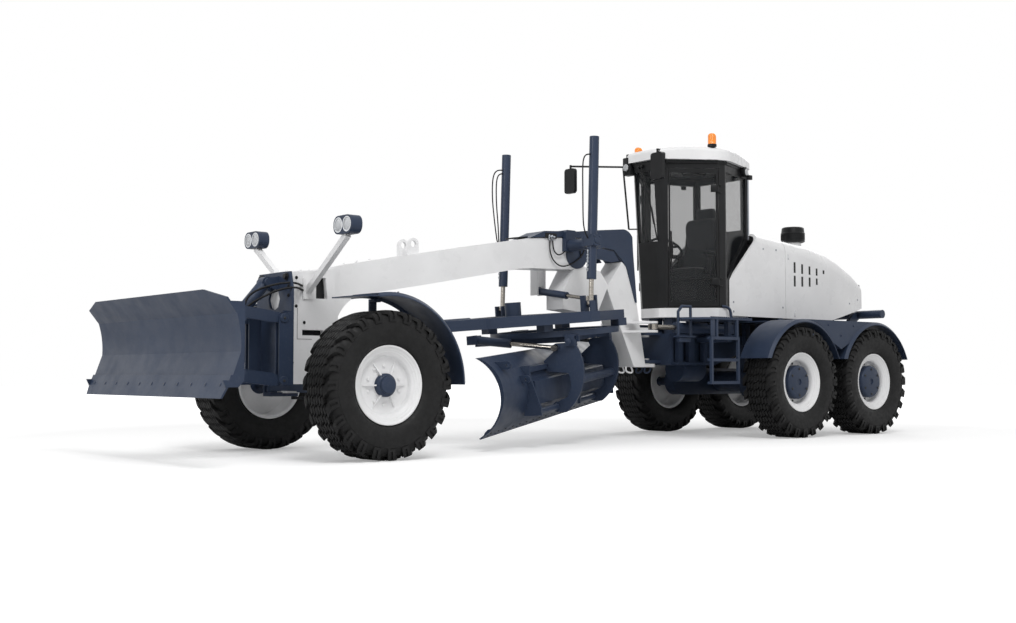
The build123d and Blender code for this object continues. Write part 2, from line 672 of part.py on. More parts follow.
def access():
    """Left side deck, ladder and hand rail."""
    deck_plate = slab(DECK_Z - 22, DECK_Z, (1380, 640), (1380, LADDER_Y), (2080, LADDER_Y), (2292, 760), (2292, 690), (2000, 690), (1900, 400), (1720, 400))
    carrier = box(1400, 1460, FRAME_HALF, 720, 1090, 1150)
    stand = box(1400, 1460, 660, 720, 1100, DECK_Z - 10)
    tab = box(1600, 1640, 430, 480, DECK_Z - 5, SILL_LOW)
    hangers = [box(x, x + 30, LADDER_Y - 30, LADDER_Y, 1100, DECK_Z - 15) for x in (1620, 1960)]
    rails = [box(x, x + 30, LADDER_Y - 30, LADDER_Y, 618, 1134) for x in (1600, 2044)]
    rungs = [box(1600, 2074, LADDER_Y - 60, LADDER_Y, z, z + 30) for z in (618, 866, 1104)]
    top = HOOP_TOP - HOOP_R
    loop = [upright(HOOP_BACK, HOOP_Y, 1142, top, HOOP_R), upright(HOOP_FRONT, HOOP_Y, 1142, top - 60, HOOP_R),
            bar((HOOP_BACK, HOOP_Y, top), (HOOP_FRONT - 60, HOOP_Y, top), HOOP_R),
            bar((HOOP_FRONT - 60, HOOP_Y, top), (HOOP_FRONT, HOOP_Y, top - 60), HOOP_R)]
    knobs = [Pos(HOOP_BACK, HOOP_Y, top) * Sphere(HOOP_R), Pos(HOOP_FRONT - 60, HOOP_Y, top) * Sphere(HOOP_R),
             Pos(HOOP_FRONT, HOOP_Y, top - 60) * Sphere(HOOP_R)]
    foot = box(HOOP_BACK - 40, HOOP_FRONT + 30, HOOP_Y - 45, HOOP_Y + 45, 1130, 1146)
    return fuse(deck_plate, carrier, stand, tab, foot, *hangers, *rails, *rungs, *loop, *knobs)


# Front frame


def beam_outline():
    """Arched beam from the nose face to its rounded rear end."""
    x = NOSE_FACE_X
    return side_plate(-BEAM_HALF, BEAM_HALF, (x, 1640), (x - 338, 1670), (x - 643, 1738), (5617, 1845),
                      (4590, 2032), (3926, 2145), (3400, 2185), (3260, 2170), ((3170, 2010), (3260, 1850)),
                      (3908, 1832), (4066, 1817), (5260, 1596), (x - 798, 1462), ((x - 648, 1370), (NOSE_BACK_X, 1255)),
                      (NOSE_BACK_X, 730), (x - 300, 730), (x - 260, PLATE_LOW), (x, PLATE_LOW))


def front_frame():
    """Beam with its lifting lugs and the hanger of the centre shift cylinder."""
    beam = beam_outline() & box(2000, NOSE_BACK_X, -400, 400, 1000, 2400)
    lug = side_plate(LIFTING_LUG_Y - LIFTING_LUG_T / 2, LIFTING_LUG_Y + LIFTING_LUG_T / 2, (5325, 1850), (5325, 1985),
                     ((5385, 2045), (5445, 1985)), (5445, 1850))
    lug = lug - cross_bar(LIFTING_LUG_X, 1986, 0, 200, LUG_HOLE_R)
    x, y, z = SHIFT_ROOT
    hangers = [box(x + a, x + b, y - 40, -BEAM_HALF + 5, z - 50, 1900) for a, b in ((-60, -42), (42, 60))]
    pin = bar((x - 50, y, z), (x + 50, y, z), 22)
    return fuse(beam, *hangers, pin, *both(lug))


def nose_box():
    """Deep front end of the frame over the axle, with the socket of the drawbar's ball."""
    x = NOSE_FACE_X
    core = beam_outline() & box(NOSE_BACK_X, x, -400, 400, 0, 2400)
    wide = side_plate(-NOSE_HALF, NOSE_HALF, (x, 1630), (x - 338, 1660), (x - 520, 1690), (x - 520, 730), (x - 300, 730),
                      (x - 260, PLATE_LOW), (x, PLATE_LOW))
    recess = side_plate(NOSE_HALF - 50, NOSE_HALF + 5, (x - 440, 1410), (x - 320, 1410), (x - 320, 1600), (x - 420, 1600))
    slot = side_plate(NOSE_HALF - 50, NOSE_HALF + 5, (x - 400, 1075), (x - 180, 1075), (x - 180, 1125), (x - 400, 1125))
    socket = bar((BALL_X - 15, 0, BALL_Z), (NOSE_BACK_X + 20, 0, BALL_Z), 95)
    seat = Pos(BALL_X, 0, BALL_Z) * Sphere(BALL_R + PIN_GAP)
    caps = both(cross_bar(BALL_X, BALL_Z, 80, 106, 36))
    return fuse(core, wide, socket, *caps) - [recess, mirrored(recess), slot, mirrored(slot), seat]


def frame_leg():
    """Leg from the beam's rear end down to the articulation, with its web and the steering cylinder shelves."""
    leg = side_plate(-BEAM_HALF, BEAM_HALF, (2567, 1976), (2803, 1681), (2650, 1359), (2379, LOWER_LUG_Z), (2194, LOWER_LUG_Z),
                     (2331, 1515), (2477, 1917))
    web = side_plate(-BEAM_HALF, BEAM_HALF, (2780, 1700), (2953, 1372), (3457, 1420), (3457, 1601), (3300, 1850), (3200, 1900),
                     (2900, 1850))
    ears = [hitch_ear(UPPER_LUG_Z, UPPER_LUG_Z + LUG_T, 2400, None), hitch_ear(LOWER_LUG_Z, LOWER_LUG_Z + LUG_T, 2360, None)]
    pins = [upright(HITCH_X, 0, 1150, UPPER_LUG_Z + LUG_T, HITCH_PIN_R), upright(HITCH_X, 0, LOWER_LUG_Z, 905, HITCH_PIN_R)]
    x, y, z = ART_EYE
    shelves = [slab(low, low + 24, (2420, 100), (x - 50, y - 40), ((x - 20, y + 50), (x + 60, y + 20)), (2560, 120))
               for low in (z - 62, z + 38)]
    pieces = [leg, web, *ears, *pins]
    for part in shelves:
        pieces += both(part)
    return fuse(*pieces) - beam_outline()


def lamp_posts():
    """Slanted posts from the nose to the lamps, each with its foot plate on the nose side."""
    post = square_bar((LAMP_X, 130, 1460), (LAMP_X, LAMP_Y, LAMP_Z - 60), 52)
    foot = box(LAMP_X - 55, LAMP_X + 55, NOSE_HALF, NOSE_HALF + 14, 1400, 1590)
    return both(fuse(post, foot))


def nose_plate():
    """Front mounting plate with the brackets of the dozer links."""
    across = Plane(origin=(NOSE_FACE_X, 0, 0), x_dir=(0, 1, 0), z_dir=(1, 0, 0))
    plate = extrude(face_of(across, (-PLATE_HALF, PLATE_LOW), (PLATE_HALF, PLATE_LOW), (PLATE_HALF, PLATE_TOP - 150),
                            (PLATE_HALF - 40, PLATE_TOP), (40 - PLATE_HALF, PLATE_TOP), (-PLATE_HALF, PLATE_TOP - 150)), amount=PLATE_T)
    window = Plane(origin=(NOSE_FACE_X - 1, 0, 1395), x_dir=(0, 1, 0), z_dir=(1, 0, 0)) * RegularPolygon(95, 8, major_radius=False)
    plate = plate - extrude(window, amount=PLATE_T + 2)
    front = NOSE_FACE_X + PLATE_T
    nose = DOZER_PIN_X + 45
    ears = []
    for y in (250, 313):
        ear = side_plate(y - 17, y, (front - 5, PLATE_LOW - 8), (nose - 40, PLATE_LOW - 8), ((nose - 12, PLATE_LOW + 4), (nose, PLATE_LOW + 32)),
                         (nose, DOZER_HIGH_Z), ((nose - 12, DOZER_HIGH_Z + 28), (nose - 40, DOZER_HIGH_Z + 40)),
                         (front - 5, DOZER_HIGH_Z + 60))
        ears += both(ear)
    pins = [both(cross_bar(DOZER_PIN_X, z, 235, 310, DOZER_PIN_R)) for z in (DOZER_LOW_Z, DOZER_HIGH_Z)]
    root_x, root_z = DOZER_ROOT
    lugs = both(side_plate(61, 83, (front - 5, root_z - 70), (root_x, root_z - 40), ((root_x + 40, root_z), (root_x, root_z + 40)),
                           (front - 5, root_z + 60)))
    pin = cross_bar(root_x, root_z, -75, 75, 25)
    brace = box(front - 5, front + 40, -233, 233, 1270, 1286)
    pieces = [plate, *ears, *lugs, pin, brace]
    for pair in pins:
        pieces += pair
    return fuse(*pieces)


def lift_saddle():
    """Arch over the back of the beam with the cross tube and hangers of the lift cylinders."""
    arch = side_plate(-BEAM_HALF - 14, BEAM_HALF + 14, (3936, 2146), (3729, 2234), (3249, 2264), (2999, 2295), (2576, 2338),
                      ((2470, 2320), (2408, 2260)), (2398, 2094), (2341, 1528), (2360, 1528), (2500, 1920), (2567, 1990),
                      (2700, 2100), (2990, 2130), (3150, 2200), (3400, 2195), (3926, 2150))
    x, y, z = LIFT_TRUNNION
    across = y - 100
    beam = cross_bar(x - 180, z, -across, across, 62)
    column = side_plate(-BEAM_HALF - 60, BEAM_HALF + 60, (x - 250, z - 60), (x - 110, z - 60), (x - 110, 2240), (x - 130, 2262), (x - 250, 2262))
    hanger = box(x - 180, x + 55, y - 100, y - 78, z - 60, z + 60)
    hanger_back = box(x - 200, x - 90, y - 100, y - 50, z - 60, z + 60)
    stub = cross_bar(x, z, y - 95, y - 60, 24)
    clamp = box(x - 245, x - 225, y - 330, y - 190, z - 95, z + 95)
    disc = cross_bar(3262, 2010, BEAM_HALF, BEAM_HALF + 16, 150)
    flange = side_plate(BEAM_HALF, BEAM_HALF + 12, (2620, 1980), (2700, 2080), (2980, 2110), (3120, 2010), (3000, 1990), (2740, 1960))
    pieces = [arch, beam, column]
    for part in (hanger, hanger_back, stub, clamp, disc, flange):
        pieces += both(part)
    return fuse(*pieces)


def head_lamps():
    """Rounded shroud round a pair of lamps at the end of each post."""
    shell = Pos(LAMP_X, LAMP_Y, LAMP_Z + 20) * Box(110, 290, 160)
    shell = fillet(shell.edges().filter_by(Axis.X), 72)
    for y in (LAMP_Y - 68, LAMP_Y + 68):
        shell = shell - bar((LAMP_X + 35, y, LAMP_Z + 20), (LAMP_X + 60, y, LAMP_Z + 20), 60)
    return both(shell)


# Steering


def front_axle():
    y = KINGPIN_Y
    beam = side_plate(-200, 200, (WHEELBASE - 90, EYE_LOW), (WHEELBASE + 90, EYE_LOW), (WHEELBASE + 90, 730), (WHEELBASE - 90, 730))
    pieces = [beam]
    for part in (box(WHEELBASE - 60, WHEELBASE + 60, 190, y, EYE_LOW + 10, EYE_TOP - 10), upright(WHEELBASE, y, EYE_LOW, EYE_TOP, EYE_R)):
        pieces += both(part)
    holes = both(upright(WHEELBASE, y, EYE_LOW - 5, EYE_TOP + 5, KINGPIN_R + PIN_GAP))
    return fuse(*pieces) - holes


def knuckle():
    x = WHEELBASE
    y = KINGPIN_Y
    top = box(x - 60, x + 60, y - 60, 885, EYE_TOP + RUN_GAP, EYE_TOP + RUN_GAP + 40)
    low = box(x - 60, x + 60, y - 60, 885, EYE_LOW - RUN_GAP - 40, EYE_LOW - RUN_GAP)
    back = box(x - 60, x + 60, y + EYE_R + RUN_GAP, 885, EYE_LOW - 20, EYE_TOP + 20)
    pin = upright(x, y, EYE_LOW - 20, EYE_TOP + 20, KINGPIN_R)
    spindle = cross_bar(x, AXLE_Z, 870, TRACK_HALF + SPINDLE_FRONT, HUB_BORE_R)
    arm = box(x - STEER_ARM - 30, x - 40, y - 60, y - 10, EYE_LOW - RUN_GAP - 40, EYE_LOW - RUN_GAP - 10)
    return fuse(top, low, back, pin, spindle, arm)


def front_fender():
    """Arc over the top and back of the front wheel, carried by a bracket on the knuckle."""
    x = WHEELBASE
    shell = arch_shell(x, FENDER_R, FENDER_T, FENDER_IN, FENDER_OUT, FENDER_BEVEL)
    keep = side_plate(0, 2000, (x - 900, AXLE_Z), (x - 900, 1600), (x + 136, 1600), (x + 136, 1200), (x, 900), (x, AXLE_Z))
    shell = shell & keep
    top = AXLE_Z + FENDER_R - FENDER_BEVEL
    nose = side_plate(FENDER_IN, FENDER_OUT, (x + 120, top - 4), (x + 330, top - 12), (x + 330, top - 12 - FENDER_T), (x + 120, top - 4 - FENDER_T))
    inner = FENDER_R - FENDER_T
    bracket = box(x - 130, x - 60, KINGPIN_Y - 20, FENDER_IN - 6, EYE_TOP + RUN_GAP, AXLE_Z + inner - 50)
    foot = box(x - 130, x - 60, KINGPIN_Y - 20, FENDER_IN - 6, EYE_TOP + RUN_GAP, EYE_TOP + RUN_GAP + 40)
    lip = box(x - 130, x - 60, KINGPIN_Y - 20, FENDER_IN + 60, AXLE_Z + inner - 56, AXLE_Z + inner - 30)
    return fuse(shell, nose, bracket, foot, lip)


def arch_shell(x, outer, thick, y_in, y_out, bevel):
    """Full ring with bevelled edges about a wheel axis."""
    inner = outer - thick
    ring = [(outer - bevel, y_in), (outer, y_in + bevel), (outer, y_out - bevel), (outer - bevel, y_out),
            (outer - bevel - thick, y_out), (inner, y_out - bevel - thick / 2), (inner, y_in + bevel + thick / 2),
            (outer - bevel - thick, y_in)]
    return Pos(x, 0, AXLE_Z) * revolve(make_face(Polyline(*ring, close=True)), Axis.Y)


def tie_rod():
    x = WHEELBASE - STEER_ARM
    y = KINGPIN_Y - 35
    top = EYE_LOW - RUN_GAP - 40 - SEAT_GAP
    z = top - 15
    eye = upright(x, y, z - 15, top, 28)
    return fuse(cross_bar(x, z, -y, y, 12), *both(eye))


# Cylinders: barrels have a blind bore for the rod, eyes turn on their pins


def cylinder_pair(root, eye, barrel, radius, rod_radius, rod_len, eye_r, pin_r, pin_axis, back=0.0, root_eye=True):
    """Barrel and rod on the line from root to eye. Returns both solids."""
    start = Vector(*root)
    line = (Vector(*eye) - start)
    span = line.length
    unit = line.normalized()
    turn = Vector(*pin_axis)
    def at(distance):
        point = start + unit * distance
        return (point.X, point.Y, point.Z)
    body = bar(at(eye_r * 0.6 if root_eye else -back), at(barrel), radius)
    bore = bar(at(eye_r * 0.6 + 40 if root_eye else 60 - back), at(barrel + 5), rod_radius + PIN_GAP)
    body = body - bore
    half = radius * 0.9
    if root_eye:
        low = start - turn * half
        high = start + turn * half
        knob = bar((low.X, low.Y, low.Z), (high.X, high.Y, high.Z), eye_r)
        low = start - turn * (half + 5)
        high = start + turn * (half + 5)
        hole = bar((low.X, low.Y, low.Z), (high.X, high.Y, high.Z), pin_r + PIN_GAP)
        body = body + knob - hole
        body = body - bore
    tip = Vector(*eye)
    low = tip - turn * rod_radius * 1.1
    high = tip + turn * rod_radius * 1.1
    head = bar((low.X, low.Y, low.Z), (high.X, high.Y, high.Z), eye_r * 0.8)
    rod = bar(at(span - rod_len), at(span - eye_r * 0.4), rod_radius)
    rod = rod + head
    return body, rod


def art_cylinder():
    return cylinder_pair(ART_ROOT, ART_EYE, ART_BARREL, ART_BARREL_R, ART_ROD_R, 560, 70, 25, (0, 0, 1))


def lift_cylinder():
    x, y, z = LIFT_TRUNNION
    barrel, rod = cylinder_pair(LIFT_TRUNNION, LIFT_BALL, LIFT_DOWN, LIFT_R, LIFT_ROD_R, 700, 45, 24, (0, 1, 0), LIFT_UP,
                                False)
    collar = box(x - 58, x + 58, y - 72, y + 72, z - 58, z + 58)
    collar = collar - bar((x, y, z - 70), (x, y, z + 70), LIFT_R - 5)
    hole = cross_bar(x, z, y - 100, y - 50, 24 + PIN_GAP)
    bore = bar((x, y, z - 70), (x, y, z + 70), LIFT_ROD_R + PIN_GAP)
    return barrel + collar - hole, rod


def shift_cylinder():
    return cylinder_pair(SHIFT_ROOT, SHIFT_EYE, 480, 38, 20, 420, 46, 22, (1, 0, 0))


def pitch_cylinders():
    """Both pitch cylinders in the circle's own frame."""
    root = (PITCH_ROOT[0], PITCH_Y, PITCH_ROOT[1])
    eye = (PITCH_EYE[0], PITCH_Y, PITCH_EYE[1])
    return cylinder_pair(root, eye, PITCH_BARREL, 46, 24, PITCH_ROD, 42, 22, (0, 1, 0))


def dozer_cylinder():
    angle = math.radians(DOZER_ANGLE)
    eye = (DOZER_PIN_X + DOZER_EYE_AT * math.cos(angle), 0, DOZER_LOW_Z + DOZER_EYE_AT * math.sin(angle))
    return cylinder_pair((DOZER_ROOT[0], 0, DOZER_ROOT[1]), eye, 660, 55, 30, 800, 52, 25, (0, 1, 0))


# Drawbar group is modelled level about the ball and then pitched


def pitched(shape):
    return Pos(BALL_X, 0, BALL_Z) * (Rot(0, DRAWBAR_PITCH, 0) * shape)


def unpitched(x, z):
    """Station and height in the drawbar's own frame of a point of the ground frame."""
    turn = math.radians(DRAWBAR_PITCH)
    dx = x - BALL_X
    dz = z - BALL_Z
    return dx * math.cos(turn) - dz * math.sin(turn), dx * math.sin(turn) + dz * math.cos(turn)


LIFT_SEAT = unpitched(LIFT_BALL[0], LIFT_BALL[2])
SHIFT_SEAT = unpitched(SHIFT_EYE[0], SHIFT_EYE[2])


def behind(x):
    """Distance behind the ball of a station in the ground frame."""
    return (x - BALL_X) / math.cos(math.radians(DRAWBAR_PITCH))


def drawbar():
    circle = behind(CIRCLE_X)
    lift_x, lift_z = LIFT_SEAT
    eye_x, eye_z = SHIFT_SEAT
    ball = Sphere(BALL_R)
    neck = bar((-40, 0, 0), (-200, 0, 0), 36)
    tube = bar((-190, 0, 0), (-1500, 0, 0), TUBE_R)
    beam = slab(-60, 50, (-1250, 20), (-1000, 20), (-1000, 90), (lift_x + 60, LIFT_BALL[1] + 60), (lift_x - 60, LIFT_BALL[1] + 60),
                (lift_x - 60, LIFT_BALL[1] - 60))
    cross = box(lift_x - 60, lift_x + 60, -LIFT_BALL[1], LIFT_BALL[1], -60, 50)
    tail = slab(-60, 40, (lift_x, 500), (lift_x, 640), (circle - 590, 480), (circle - 590, 350))
    bridge = box(circle + 440, circle + 490, -470, 470, -60, 40)
    head = slab(-60, 50, (-900, 0), (-900, 60), (-1250, 90), (-1500, 330), (-1500, 0))
    shoes = []
    for angle in (40, 140):
        a = math.radians(angle)
        cx = circle + (CIRCLE_OUT + 4) * math.cos(a)
        cy = (CIRCLE_OUT + 4) * math.sin(a)
        shoes.append(box(cx - 60, cx + 60, cy - 60, cy + 60, CIRCLE_TOP + PIN_GAP, -50))
    tower = box(lift_x - 10, lift_x + 60, LIFT_BALL[1] - 60, LIFT_BALL[1] - 40, -50, lift_z + 35)
    tower2 = box(lift_x - 10, lift_x + 60, LIFT_BALL[1] + 40, LIFT_BALL[1] + 60, -50, lift_z + 35)
    clevis = [box(eye_x + a, eye_x + b, SHIFT_EYE[1] - 50, SHIFT_EYE[1] + 20, -50, eye_z + 40) for a, b in ((-90, -70), (70, 90))]
    motor = upright(circle + 560, 0, -60, 190, 85)
    gear = box(circle + 450, circle + 700, -110, 110, -60, 50)
    pieces = [ball, neck, tube, cross, motor, gear, bridge, *clevis]
    for part in (beam, head, tail, tower, tower2, *shoes):
        pieces += both(part)
    return pitched(fuse(*pieces))


def on_circle(shape):
    """Places a shape of the circle's own frame: X to the concave side of the blade, Y along the blade."""
    return pitched(Pos(behind(CIRCLE_X), 0, 0) * (Rot(0, 0, CIRCLE_YAW) * shape))


def circle_ring():
    ring = Pos(0, 0, (CIRCLE_TOP + CIRCLE_LOW) / 2) * (Cylinder(CIRCLE_OUT, CIRCLE_TOP - CIRCLE_LOW)
                                                     - Cylinder(CIRCLE_IN, CIRCLE_TOP - CIRCLE_LOW + 10))
    low = -250
    pin_x, pin_z = TILT_PIN
    root_x, root_z = PITCH_ROOT
    rails = both(box(pin_x - 70, root_x + 60, ARM_Y - 90, ARM_Y - 40, low, CIRCLE_LOW + 5))
    tie = ARM_Y - 45
    ties = [box(x - 30, x + 30, -tie, tie, low, CIRCLE_LOW + 5) for x in (-270, 360)]
    pieces = [ring, *rails, *ties]
    for y in (ARM_Y - 38, ARM_Y + 38):
        ear = box(pin_x - 50, pin_x + 50, y - 8, y + 8, pin_z - 50, CIRCLE_LOW + 20)
        pieces += both(ear)
    roof = box(pin_x - 50, pin_x + 50, ARM_Y - 60, ARM_Y + 46, CIRCLE_LOW + 2, CIRCLE_LOW + 20)
    pieces += both(roof)
    pieces += both(cross_bar(pin_x, pin_z, ARM_Y - 46, ARM_Y + 46, 25))
    for y in (PITCH_Y - 54, PITCH_Y + 54):
        pieces += both(box(root_x - 46, root_x + 70, y - 6, y + 6, root_z - 46, root_z + 46))
    pieces += both(box(root_x + 50, root_x + 70, ARM_Y - 90, PITCH_Y + 60, root_z - 46, root_z + 46))
    pieces += both(cross_bar(root_x, root_z, PITCH_Y - 60, PITCH_Y + 60, 22))
    return fuse(*pieces)


def blade_arms():
    """Two hooked arms that turn on the circle's tilt pins and hold the blade's rails."""
    pin_x, pin_z = TILT_PIN
    eye_x, eye_z = PITCH_EYE
    outline = [(pin_x - 50, pin_z), ((pin_x, pin_z + 38), (pin_x + 60, pin_z - 15)), (eye_x + 10, eye_z + 42),
               ((eye_x + 50, eye_z + 5), (eye_x + 40, eye_z - 40)), (-85, -430), (-112, -535), (-340, -560),
               ((-362, -690), (-320, -800)), (-210, -850), ((-150, -900), (-200, -950)), (-290, -960),
               ((-505, -600), (pin_x - 50, pin_z - 40))]
    start = outline[0]
    plate = side_plate(ARM_Y - ARM_T / 2, ARM_Y + ARM_T / 2, start, *outline[1:])
    pin_hole = cross_bar(pin_x, pin_z, 0, 2000, 25 + PIN_GAP)
    rail_hole = cross_bar(*RAIL_LOW, 0, 2000, RAIL_LOW_R + PIN_GAP)
    rail_slot = box(RAIL_TOP[0] - 30 - PIN_GAP, 0, 0, 2000, RAIL_TOP[1] - 25 - PIN_GAP, RAIL_TOP[1] + 25 + PIN_GAP)
    plate = plate - pin_hole - rail_hole - rail_slot
    tube = cross_bar(-420, -640, -ARM_Y, ARM_Y, 45)
    boss = cross_bar(eye_x, eye_z, ARM_Y, PITCH_Y - 32, 30)
    return fuse(*both(plate), *both(boss), tube)


def blade_arc(x_out):
    """Blade section points moved back by x_out: bottom, deepest, top."""
    return ((BLADE_OFFSET - x_out, -1030), (BLADE_OFFSET - 195 - x_out, -693), (BLADE_OFFSET + 35 - x_out, -309))


def mouldboard():
    y0 = BLADE_SHIFT - BLADE_LEN / 2
    y1 = BLADE_SHIFT + BLADE_LEN / 2
    low, deep, top = blade_arc(0)
    low2, deep2, top2 = blade_arc(BLADE_T)
    skin = side_plate(y0, y1, low, (deep, top), top2, (deep2, low2))
    edge = side_plate(y0, y1, (low[0] - 14, low[1] + 26), (low[0] + 3, low[1] - 2), EDGE_TIP, (EDGE_TIP[0] - 15, EDGE_TIP[1] - 8),
                      (low2[0] - 40, low2[1] + 30), (low2[0] - 26, low2[1] + 52))
    rail = cross_bar(*RAIL_LOW, -RAIL_HALF, RAIL_HALF, RAIL_LOW_R)
    bar_top = box(RAIL_TOP[0] - 30, RAIL_TOP[0] + 30, -RAIL_HALF, RAIL_HALF, RAIL_TOP[1] - 25, RAIL_TOP[1] + 25)
    hollow = side_plate(-5000, 5000, low, (deep, top), (1500, top[1]), (1500, low[1]))
    casing = side_plate(-CASING_HALF, CASING_HALF, (RAIL_TOP[0] - 20, RAIL_TOP[1] - 95), (CASING_BACK, RAIL_TOP[1] - 120),
                        (CASING_BACK, RAIL_LOW[1] + 70), (RAIL_LOW[0] + 60, RAIL_LOW[1] + 45), (0, RAIL_LOW[1] + 60),
                        (-60, RAIL_TOP[1] - 95))
    pieces = [skin, edge, rail, bar_top, casing - hollow]
    for y in (y0, y1 - STIFFENER_W):
        out_low, out_deep, out_top = blade_arc(BLADE_T + 14)
        pad = side_plate(y, y + STIFFENER_W, (low[0] - 60, low[1] + 60), (out_deep, out_top), top, (deep, (low[0] - 30, low[1] + 70)))
        pieces.append(pad - hollow)
    for y in (-RAIL_HALF + 15, 0, RAIL_HALF - 15):
        rib = side_plate(y - 15, y + 15, (RAIL_LOW[0] - 45, RAIL_LOW[1] - 30), (RAIL_LOW[0] - 45, RAIL_LOW[1] + 40),
                         (RAIL_TOP[0] - 50, RAIL_TOP[1] - 60), (RAIL_TOP[0] - 50, RAIL_TOP[1] + 40),
                         (BLADE_OFFSET - 60, RAIL_TOP[1] + 40), (deep), (BLADE_OFFSET - 150, RAIL_LOW[1] - 30))
        pieces.append(rib - hollow)
    for x, z, spot in BLADE_LUGS:
        for sign in (-1, 1):
            y = sign * spot
            lug = side_plate(y - 14, y + 14, (x - 75, z + 38), ((x - 113, z), (x - 75, z - 38)), (x + 60, z - 38), (x + 60, z + 38))
            pieces.append(lug - cross_bar(x - 75, z, y - 20, y + 20, 17) - hollow)
    return fuse(*pieces)


# Dozer


def link_frame(z):
    """Places a link modelled forward from its rear pin at the origin."""
    return Pos(DOZER_PIN_X, 0, z) * Rot(0, -DOZER_ANGLE, 0)


def dozer_link(height, cross_at, with_lug):
    """Pair of parallel arms with a cross member; the cylinder's lugs stand on the lower one."""
    pieces = []
    for x in (0, DOZER_LINK):
        pieces += both(cross_bar(x, 0, LINK_IN, LINK_OUT, 42))
    half = height / 2
    arm = side_plate(LINK_IN, LINK_OUT, (0, -38), (120, -half), (DOZER_LINK - 120, -half), (DOZER_LINK, -38), (DOZER_LINK, 38),
                     (DOZER_LINK - 120, half), (120, half), (0, 38))
    cross = box(cross_at - 40, cross_at + 40, -LINK_IN - 5, LINK_IN + 5, -38, 38)
    body = fuse(*pieces, *both(arm), cross)
    if with_lug:
        lug = side_plate(98, 120, (cross_at, -38), (DOZER_EYE_AT, -38), ((DOZER_EYE_AT + 38, 0), (DOZER_EYE_AT, 38)), (cross_at, 38))
        body = fuse(body, *both(lug))
    holes = [*both(cross_bar(0, 0, 200, 320, DOZER_PIN_R + PIN_GAP)), *both(cross_bar(DOZER_LINK, 0, 200, 320, DOZER_PIN_R + PIN_GAP))]
    return body - holes


def dozer_pins():
    angle = math.radians(DOZER_ANGLE)
    x = DOZER_PIN_X + DOZER_LINK * math.cos(angle)
    rise = DOZER_LINK * math.sin(angle)
    return x, DOZER_LOW_Z + rise, DOZER_HIGH_Z + rise


def dozer_section(inset):
    """Front face points moved back by the inset: foot, knee, middle of the curve, brow, tip."""
    x = DOZER_TIP_X - inset
    return [(x - 104, 683), (x - 182, 900), (x - 177, 1048), (x - 145, 1190), (x, 1375)]


def dozer_blade():
    half = DOZER_HALF
    x, low_z, high_z = dozer_pins()
    foot, knee, mid, brow, tip = dozer_section(0)
    foot2, knee2, mid2, brow2, tip2 = dozer_section(DOZER_T)
    skin = side_plate(-half, half, foot, knee, (mid, brow), tip, tip2, brow2, (mid2, knee2), foot2)
    front = side_plate(-half - 1, half + 1, foot, knee, (mid, brow), tip, (tip[0] + 900, tip[1]), (tip[0] + 900, foot[1]))
    wing = Plane(origin=(DOZER_TIP_X - 400, 0, 0), x_dir=(0, 1, 0), z_dir=(1, 0, 0))
    top_cut = extrude(face_of(wing, (DOZER_CORNER, 1375), (half + 1, 1375 - DOZER_DROP), (half + 1, 1500), (DOZER_CORNER, 1500)), amount=500)
    edge_face = [(foot[0] - 18, foot[1] + 40), (foot[0] + 2, foot[1] + 40), (foot[0] + 74, 546), (foot[0] + 58, 546)]
    edge = side_plate(-half, half, *edge_face)
    slant = extrude(face_of(wing, (half - 30, 540), (half + 2, 640), (half + 2, 540)), amount=500)
    back_x = x + 79
    rim_x = DOZER_TIP_X - 28
    side = side_plate(half - 16, half, (back_x, 680), (back_x + 47, 630), (rim_x - 32, 630), (rim_x, 700), (rim_x, 1250),
                      (rim_x - 32, 1280), (back_x, 1280))
    side = side - box(back_x + 75, back_x + 105, half - 20, half + 1, 935, 965)
    ribs = []
    for y in (-900, -560, 560, 900):
        ribs.append(side_plate(y - 9, y + 9, (foot[0] - 60, foot[1] + 20), (foot[0] + 5, foot[1] + 20), (brow[0] + 5, brow[1] - 20),
                               (brow[0] - 55, brow[1] - 40), (knee[0] - 60, knee[1] + 60)))
    for z in (740, 1150):
        ribs.append(box(knee[0] - 50, knee[0] + 40, -half + 16, half - 16, z - 12, z + 12))
    pieces = [*both(side), *ribs]
    for y in (250, 313):
        ear = side_plate(y - 17, y, (x - 45, low_z - 30), ((x - 32, low_z - 45), (x - 10, low_z - 52)), (knee[0] + 40, low_z - 60),
                         (knee[0] + 40, high_z + 60), (x - 10, high_z + 48), ((x - 36, high_z + 36), (x - 45, high_z + 10)))
        pieces += both(ear)
    for z in (low_z, high_z):
        pieces += both(cross_bar(x, z, 235, 310, DOZER_PIN_R))
    backing = fuse(*pieces) - front
    body = fuse(skin, edge - front, backing)
    plate = edge & front
    body = fuse(body, plate)
    return body - top_cut - mirrored(top_cut) - slant - mirrored(slant)


